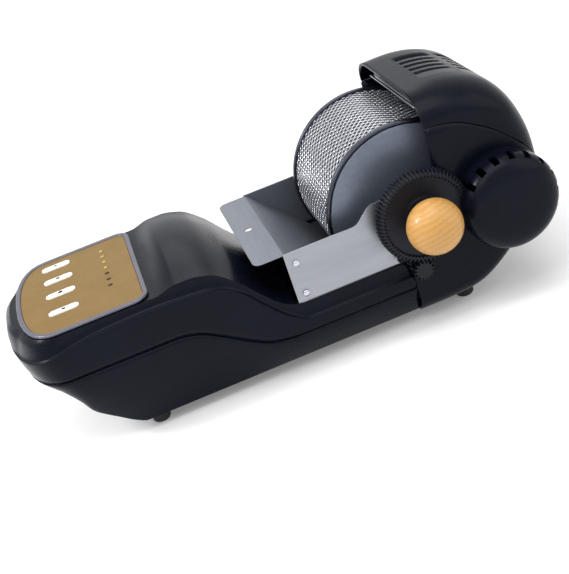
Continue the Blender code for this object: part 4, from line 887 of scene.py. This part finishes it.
@dataclass
class BlowerPod:
    """Round blower housing: a drum with a softly domed face and slots round its side."""

    x: float = 0.071
    z: float = -0.012
    radius: float = 0.0412
    back: float = -0.0823
    side: float = 0.0245
    dome: float = 0.0068
    bend: float = 0.010
    wall: float = 0.0024
    slots: int = 18
    slot_rows: int = 10
    gear_clear: float = 0.0423
    notch_front: float = -0.0942

    def build(self, shell: bpy.types.Material) -> None:
        """Builds the housing as a turned skin with open slots, then cuts the clearance for the gear.

        The dome's radius falls as the square root of the cosine: a round rim and a nearly flat face.
        """
        shoulder = self.back - self.side
        turn = np.linspace(0.0, math.pi / 2.0, 22)
        depth = self.dome + self.bend
        dome = np.stack((self.radius * np.cos(turn) ** 0.5, shoulder + self.bend - depth * np.sin(turn)),
                        axis=1)
        dome[-1, 0] = 0.0004
        side = np.array([(self.radius, y) for y in (self.back, self.back - 0.004,
                                                    shoulder + self.bend + 0.003)])
        profile = np.concatenate((side, dome))
        around = 18 * 10
        grid = lathe(profile, around, (self.x, self.z))
        keep = np.ones((len(profile) - 1, around), dtype=bool)
        per = around // self.slots
        for index in range(self.slots):
            angle = 2.0 * math.pi * index / self.slots
            if -math.pi / 4.0 < math.remainder(angle, 2.0 * math.pi) < math.radians(160.0):
                for step in (-2, -1, 0, 1):
                    keep[2:self.slot_rows, (index * per + step) % around] = False
        pod = Skin().grid(grid, wrap=True, keep=keep)
        pod.add(grid[-1], [list(range(around))])
        made = pod.build("pod_shell", shell, "casing", self.wall, outward=(self.x, self.back - 0.012, self.z))
        cutter = Skin()
        rings = lathe(np.array(((0.0, 0.0), (self.gear_clear, 0.0))), 96)
        disc = rings[1]
        ends = [disc + np.array((0.0, y, 0.0)) for y in (self.back + 0.006, self.notch_front)]
        cutter.add(np.concatenate(ends), [list(range(96)), list(range(96, 192))]
                   + [[i, (i + 1) % 96, (i + 1) % 96 + 96, i + 96] for i in range(96)])
        tool = cutter.build("gear_clearance", shell, "casing")
        cut = made.modifiers.new("gear_notch", "BOOLEAN")
        cut.operation, cut.solver, cut.object = "DIFFERENCE", "EXACT", tool
        bpy.context.view_layer.update()
        graph = bpy.context.evaluated_depsgraph_get()
        fresh = bpy.data.meshes.new_from_object(made.evaluated_get(graph))
        made.modifiers.clear()
        made.data = fresh
        fresh.set_sharp_from_angle(angle=SMOOTH_ANGLE)
        bpy.data.objects.remove(tool, do_unlink=True)
        stand_for("blower_pod")


@dataclass
class DrumPieces:
    """The drum's fine wire mesh, its rims and end discs, the toothed gear, and the wooden knob."""

    radius: float = 0.070
    half: float = 0.056
    rim_width: float = 0.0050
    rim_out: float = 0.0722
    columns: int = 132
    rows: int = 30
    hole: float = 0.76
    wall: float = 0.0008
    teeth: int = 70
    module: float = 0.00113
    play: float = 0.00035
    gear_back: float = -0.0836
    gear_front: float = -0.0926
    chamfer: float = 0.0016
    knob_radius: float = 0.0232
    knob_end: float = -0.1340
    neck_radius: float = 0.0112
    edge: float = 0.0003

    def mesh(self, material: bpy.types.Material, inside: bpy.types.Material) -> None:
        """Builds the open mesh of diamonds, each a frame of four quads round its hole.

        Diamond centres lie at every other crossing of half steps. A corner lies one half step away along
        u or y, and the hole's corners at the share `hole` of that. Rows at the ends are cut at the rim.
        """
        reach = self.half - self.rim_width - 0.0002
        turn_step = 2.0 * math.pi / self.columns
        lift = 2.0 * reach / self.rows
        column, row = np.meshgrid(np.arange(self.columns), np.arange(self.rows + 1), indexing="ij")
        taken = (column + row) % 2 == 0
        centre = np.stack((column[taken] * turn_step, -reach + row[taken] * lift), axis=1)
        corner = np.array(((1.0, 0.0), (0.0, 1.0), (-1.0, 0.0), (0.0, -1.0))) * np.array((turn_step, lift))
        outer = centre[:, None, :] + corner
        inner = centre[:, None, :] + corner * self.hole
        flat = np.concatenate((outer, inner), axis=1)
        flat[:, :, 1] = np.clip(flat[:, :, 1], -reach, reach)
        points = np.stack((self.radius * np.cos(flat[:, :, 0]), flat[:, :, 1],
                           self.radius * np.sin(flat[:, :, 0])),
                          axis=2)
        frame_faces = np.array([(k, (k + 1) % 4, (k + 1) % 4 + 4, k + 4) for k in range(4)])
        faces = (np.arange(len(centre))[:, None, None] * 8 + frame_faces[None]).reshape(-1, 4)
        made = Skin().add(points, faces).build("drum_wire_mesh", material, "drum", self.wall,
                                               outward=(0.0, 0.0, 0.0))
        # The wall's inner faces take the second finish, a near-black colour that is painted shade inside the
        # drum
        made.data.materials.append(inside)
        made.modifiers["wall"].material_offset = 1
        stand_for("drum_mesh")

    def rims(self, material: bpy.types.Material, dark: bpy.types.Material) -> None:
        """Builds each rim as a rolled ring with round edges, and dresses the disc inside it."""
        for side, name in ((-1.0, "near"), (1.0, "far")):
            turn = np.linspace(0.0, 2.0 * math.pi, 25)
            wide, high = (np.sign(part) * np.abs(part) ** 0.6 for part in (np.cos(turn), np.sin(turn)))
            middle_y = side * (self.half - self.rim_width / 2.0)
            middle_r = (self.rim_out + 0.0690) / 2.0
            profile = np.stack((middle_r + (self.rim_out - middle_r) * wide,
                                middle_y + self.rim_width / 2.0 * high), axis=1)
            made = Skin().grid(lathe(profile, 144), wrap=True).build(f"{name}_rolled_rim", material, "drum")
            stand_for(f"drum_{name}_rim")
            dress_copy(f"drum_{name}_end", f"{name}_end_disc", dark, self.edge)

    def tooth_line(self) -> np.ndarray:
        """The gear's tooth outline: four points to a tooth, thinned for play, starting on the X axis."""
        pitch_radius = self.teeth * self.module / 2.0
        quarter = math.pi / (2.0 * self.teeth) - self.play / pitch_radius / 2.0
        middle = 2.0 * math.pi * np.arange(self.teeth)[:, None] / self.teeth
        spread = np.array((-1.55, -0.50, 0.50, 1.55))
        radius = pitch_radius + self.module * np.array((-1.15, 0.85, 0.85, -1.15))
        turn = middle + quarter * spread
        return np.stack(((radius * np.cos(turn)).ravel(), (radius * np.sin(turn)).ravel()), axis=1)

    def gear(self, material: bpy.types.Material) -> None:
        """Builds the gear: toothed rim, a chamfer that carries the teeth inwards, and a flat web."""
        outline = self.tooth_line()
        count = len(outline)
        shares = (1.0, 1.0, 0.985, 0.955, 0.90, 0.885, 0.86)
        depths = (self.gear_back, self.gear_front + self.chamfer + 0.0010, self.gear_front + self.chamfer,
                  self.gear_front + 0.0004, self.gear_front, self.gear_front + 0.0002,
                  self.gear_front + 0.0022)
        rings = []
        for share, y in zip(shares, depths):
            ring = outline * share
            if share < 0.9:
                length = np.linalg.norm(ring, axis=1)[:, None]
                ring = ring / length * (np.mean(length) * 0.35 + length * 0.65)
            rings.append(np.stack((ring[:, 0], np.full(count, y), ring[:, 1]), axis=1))
        inner_turn = np.arctan2(outline[:, 1], outline[:, 0])
        for radius, y in ((0.0325, self.gear_front + 0.0024), (0.0180, self.gear_front + 0.0024),
                          (0.0170, self.gear_front + 0.0004), (0.0125, self.gear_front + 0.0002),
                          (0.0056, self.gear_front + 0.0002), (0.0056, self.gear_back),
                          (0.020, self.gear_back)):
            rings.append(np.stack((radius * np.cos(inner_turn), np.full(count, y),
                                   radius * np.sin(inner_turn)), axis=1))
        rings.append(rings[0])
        made = Skin().grid(np.array(rings), wrap=True).build("ribbed_gear", material, "drum")
        stand_for("drum_gear")

    def knob(self, material: bpy.types.Material) -> None:
        """Builds the ball knob: a circle arc in radius and y, that runs into a short neck."""
        reach = 0.0205
        middle = self.knob_end + reach
        turn = np.linspace(math.pi * 0.19, math.pi, 40)
        ball = np.stack((self.knob_radius * np.sin(turn), middle + reach * np.cos(turn)), axis=1)
        ball[-1] = (0.0002, self.knob_end)
        neck_y = self.gear_front - 0.0003
        neck = np.array(((0.0002, neck_y), (self.neck_radius * 0.9, neck_y),
                         (self.neck_radius, neck_y - 0.0006),
                         (self.neck_radius * 0.98, neck_y - 0.0024),
                         (self.neck_radius * 1.05, neck_y - 0.0034)))
        made = Skin().grid(lathe(np.concatenate((neck, ball)), 72), wrap=True).build("ball_knob", material,
                                                                                     "drum")
        stand_for("wood_knob")

    def build(self, made: dict[str, bpy.types.Material]) -> None:
        """Builds every drum piece."""
        self.mesh(made["bright_stainless"], made["painted_shade_steel"])
        self.rims(made["tinted_rim"], made["heat_tinted_steel"])
        self.gear(made["moulded_nylon"])
        self.knob(made["oiled_beech"])


@dataclass
class Keypad:
    """The keypad: raised grey frame, printed film, oval keys with a small mark each, and seven lamps."""

    top: float = 0.01838
    key_x: float = -0.2985
    keys_y: tuple = (0.0555, 0.0270, -0.0030, -0.0370)
    key_length: float = 0.0265
    key_width: float = 0.0088
    proud: float = 0.0012
    travel_low: float = 0.0075
    frame_edge: float = 0.0009
    lamp_edge: float = 0.0003
    amber_lamps: int = 4
    mark_size: float = 0.0021
    mark_height: float = 0.00008

    def key(self, index: int, y: float, white: bpy.types.Material, ink: bpy.types.Material) -> None:
        """Builds one key: a round-ended outline drawn in towards a soft crown, and its printed mark."""
        turn = np.linspace(0.0, 2.0 * math.pi, 49)[:-1]
        offset = (self.key_length - self.key_width) / 2.0
        out = np.stack((np.cos(turn), np.sin(turn)), axis=1)
        crown = self.top + self.proud
        levels = ((self.travel_low, 0.0), (crown - 0.0008, 0.0), (crown - 0.0003, 0.0002), (crown, 0.0008),
                  (crown + 0.00015, 0.0022), (crown + 0.0002, self.key_width / 2.0 - 0.0001))
        rings = []
        for z, inset in levels:
            radius = self.key_width / 2.0 - inset
            x = self.key_x + np.sign(out[:, 0]) * offset * np.minimum(1.0,
                    np.abs(out[:, 0]) * 6.0) + radius * out[:, 0]
            rings.append(np.stack((x, y + radius * out[:, 1], np.full(len(turn), z)), axis=1))
        skin = Skin().grid(np.array(rings), wrap=True)
        skin.add(rings[0], [list(range(len(turn)))])
        skin.add(rings[-1], [list(range(len(turn)))])
        made = skin.build(f"oval_key_{index}", white, f"button_{index}")
        stand_for(f"button_{index}")
        self.mark(index, y, crown + 0.00018, ink)

    def mark(self, index: int, y: float, z: float, ink: bpy.types.Material) -> None:
        """Prints a small generic sign on a key: a triangle, a square or a round dot.

        Args:
            index: The key's number, from 1.
            y: The key's place.
            z: Height of the print's lower side.
            ink: Its finish.
        """
        size = self.mark_size
        sides = (3, 4, 20, 4)[index - 1]
        turn = np.arange(sides) * (2.0 * math.pi / sides) + math.pi / 4.0 * (sides == 4)
        shape = np.stack((self.key_x + size * np.cos(turn), y + size * np.sin(turn), np.full(sides, z)),
                         axis=1)
        top = shape + np.array((0.0, 0.0, self.mark_height))
        faces = [list(range(sides)), list(range(sides, 2 * sides))]
        faces += [[i, (i + 1) % sides, (i + 1) % sides + sides, i + sides] for i in range(sides)]
        Skin().add(np.concatenate((shape, top)), faces).build(f"key_mark_{index}", ink, f"button_{index}")

    def build(self, made: dict[str, bpy.types.Material]) -> None:
        """Builds the frame, the film, the keys and the lamps."""
        dress_copy("panel_bezel", "keypad_frame", made["silver_lacquer"], self.frame_edge)
        dress_copy("panel_overlay", "keypad_film", made["gold_film"])
        for index, y in enumerate(self.keys_y, 1):
            self.key(index, y, made["white_abs"], made["key_ink"])
        for index in range(1, 8):
            lens = "amber_lens" if index <= self.amber_lamps else "red_lens"
            dress_copy(f"indicator_{index}", f"lamp_{index}", made[lens], self.lamp_edge)


@dataclass
class SheetMetal:
    """The steel side plates, the trough with its lip, and the small steel pieces."""

    bevel: float = 0.0003

    def build(self, made: dict[str, bpy.types.Material]) -> None:
        """Dresses the sheet pieces, each from its own solid with rounded edges."""
        # The far plate and the trough take the darker copy of the stainless, whose colour is painted shade
        bright, shaded_steel = made["bright_stainless"], made["shaded_stainless"]
        for node, name, steel in (("near_side_plate", "near_plate_sheet", made["brushed_stainless"]),
                                  ("far_side_plate", "far_plate_sheet", shaded_steel),
                                  ("chaff_trough", "trough_sheet", shaded_steel)):
            dress_copy(node, name, steel, self.bevel)
        for side in ("near", "far"):
            for index in (1, 2):
                dress_copy(f"{side}_plate_screw_{index}", f"{side}_screw_head_{index}", bright,
                           self.bevel)


class Studio:
    """Pale floor, soft lamps and the camera of the photograph."""

    eye = (-0.0972, -0.8811, 0.5090)
    right = (0.92259, -0.24681, -0.29649)
    up = (0.37499, 0.39322, 0.83950)
    forward = (0.09061, 0.88570, -0.45533)
    lens = 71.735
    sensor = 36.0
    floor_lift = 0.16
    far_lift = 0.75
    fade_from = 0.45
    fade_to = 1.6
    # Place, side in metres and power in watts
    lamps = {"key_lamp": ((-0.9, -0.9, 1.5), 0.9, 6.0), "edge_lamp": ((-1.15, 0.13, 1.08), 0.35, 14.0),
             "top_lamp": ((0.1, -0.40, 1.6), 1.1, 12.0), "fill_lamp": ((1.2, -0.8, 0.9), 1.2, 5.0),
             "back_lamp": ((0.2, 1.3, 1.3), 0.8, 3.0)}

    def camera(self) -> None:
        """Puts the camera where the photograph was taken, rolled as it was held."""
        data = bpy.data.cameras.new("photo_camera")
        data.lens, data.sensor_width = self.lens, self.sensor
        made = put_in_scene("photo_camera", data)
        turn = Matrix((self.right, self.up, tuple(-part for part in self.forward))).transposed().to_4x4()
        made.matrix_world = Matrix.Translation(self.eye) @ turn
        bpy.context.scene.camera = made

    def lamp(self, name: str, place: tuple, size: float, power: float) -> None:
        """Adds one soft square lamp that faces the roaster.

        Args:
            name: The lamp's name.
            place: Where it hangs.
            size: Its side.
            power: Its power in watts.
        """
        data = bpy.data.lights.new(name, "AREA")
        data.size, data.energy = size, power
        made = put_in_scene(name, data)
        made.location = place
        made.rotation_euler = (-Vector(place) + Vector((0.0, 0.0, 0.08))).to_track_quat("-Z", "Y").to_euler()

    def floor(self) -> None:
        """Lays the floor: a pale sheet with the faintest unevenness, 6 m across."""
        turn = np.linspace(-3.0, 3.0, 13)
        x, y = np.meshgrid(turn, turn)
        mesh = bpy.data.meshes.new("pale_floor")
        points = np.stack((x, y, 0.0 * x), axis=2)
        mesh.from_pydata(points.reshape(-1, 3).tolist(), [], grid_faces(13, 13).tolist())
        pale = Finish("pale_floor", "F4F4F5", "F0F0F2", 0.65, grain=0.004, relief=0.00001).build()
        shader = pale.node_tree.nodes["Principled BSDF"]
        place = add_node(pale.node_tree, "ShaderNodeTexCoord")
        far = add_node(pale.node_tree, "ShaderNodeVectorMath", {"operation": "LENGTH"},
                       {0: place.outputs["Object"]})
        glow = add_node(pale.node_tree, "ShaderNodeMapRange",
                        {"From Min": self.fade_from, "From Max": self.fade_to, "To Min": self.floor_lift,
                         "To Max": self.far_lift}, {"Value": far.outputs["Value"]})
        lift = add_node(pale.node_tree, "ShaderNodeMath", {"operation": "MULTIPLY"},
                        {0: glow.outputs["Result"], 1: self.seen_rays(pale.node_tree)})
        shader.inputs["Emission Color"].default_value = linear("FFFFFF")
        pale.node_tree.links.new(lift.outputs["Value"], shader.inputs["Emission Strength"])
        mesh.materials.append(pale)
        put_in_scene("pale_floor", mesh)

    def seen_rays(self, tree: bpy.types.NodeTree) -> bpy.types.NodeSocket:
        """A socket that is 1 for camera, mirror and pass-through rays, and 0 for rays that carry light."""
        path = add_node(tree, "ShaderNodeLightPath")
        straight = add_node(tree, "ShaderNodeMath", {"operation": "MAXIMUM"},
                            {0: path.outputs["Is Camera Ray"], 1: path.outputs["Is Glossy Ray"]})
        seen = add_node(tree, "ShaderNodeMath", {"operation": "MAXIMUM"},
                        {0: straight.outputs["Value"], 1: path.outputs["Is Transmission Ray"]})
        return seen.outputs["Value"]

    def world(self) -> None:
        """Lights the room evenly, and shows white to the camera and in reflections."""
        made = bpy.data.worlds.new("soft_room")
        made.use_nodes = True
        tree = made.node_tree
        back = tree.nodes["Background"]
        strength = add_node(tree, "ShaderNodeMapRange", {"To Min": 0.50, "To Max": 1.0},
                            {"Value": self.seen_rays(tree)})
        back.inputs["Color"].default_value = linear("FFFFFF")
        tree.links.new(strength.outputs["Result"], back.inputs["Strength"])
        bpy.context.scene.world = made

    def build(self) -> None:
        """Builds the room."""
        self.camera()
        self.floor()
        self.world()
        for name, (place, size, power) in self.lamps.items():
            self.lamp(name, place, size, power)
        bpy.context.scene.view_settings.view_transform = "Standard"


SLOT_FINISHES = {"black_plastic": "moulded_abs", "black_gear": "moulded_nylon",
                 "brushed_steel": "brushed_stainless",
                 "dark_steel": "heat_tinted_steel", "bright_steel": "bright_stainless",
                 "gold_panel": "gold_film",
                 "silver_bezel": "silver_lacquer", "white_plastic": "white_abs", "amber_lens": "amber_lens",
                 "red_lens": "red_lens", "beech_wood": "oiled_beech", "circuit_green": "circuit_resin",
                 "ceramic": "fired_ceramic", "rubber": "moulded_rubber", "motor_zinc": "zinc_can"}


def dress_nodes(made: dict[str, bpy.types.Material]) -> None:
    """Gives each CAD node that stays the finish of its material slot."""
    for row in frame["record"]["subparts"]:
        item = frame["nodes"][row["node"]]
        item.data.materials.clear()
        item.data.materials.append(made[SLOT_FINISHES[row["material_slot"]]])
        item.data.shade_smooth()
        item.data.set_sharp_from_angle(angle=SMOOTH_ANGLE)


def main() -> None:
    """Builds the room, the finishes and every sub-assembly."""
    logging.basicConfig(level=logging.INFO, format="%(name)s: %(message)s")
    finishes = (MOULDED_ABS, MOULDED_NYLON, BRUSHED_STAINLESS, BRIGHT_STAINLESS, HEAT_TINTED_STEEL,
                PRINTED_FILM, SILVER_LACQUER, WHITE_ABS, AMBER_LENS, RED_LENS, MOULDED_RUBBER, FIRED_CERAMIC,
                CIRCUIT_RESIN,
                ZINC_CAN, KEY_INK, SHADED_STAINLESS, PAINTED_SHADE_STEEL, TINTED_RIM, TurnedBeech())
    made = {item.name: item.build() for item in finishes}
    Studio().build()
    dress_nodes(made)
    FrontBody().build(made["moulded_abs"])
    RearBody().build(made["moulded_abs"])
    Hinge().build(made["moulded_abs"])
    BlowerPod().build(made["moulded_abs"])
    DrumPieces().build(made)
    Keypad().build(made)
    SheetMetal().build(made)


if __name__ == "__main__":
    main()
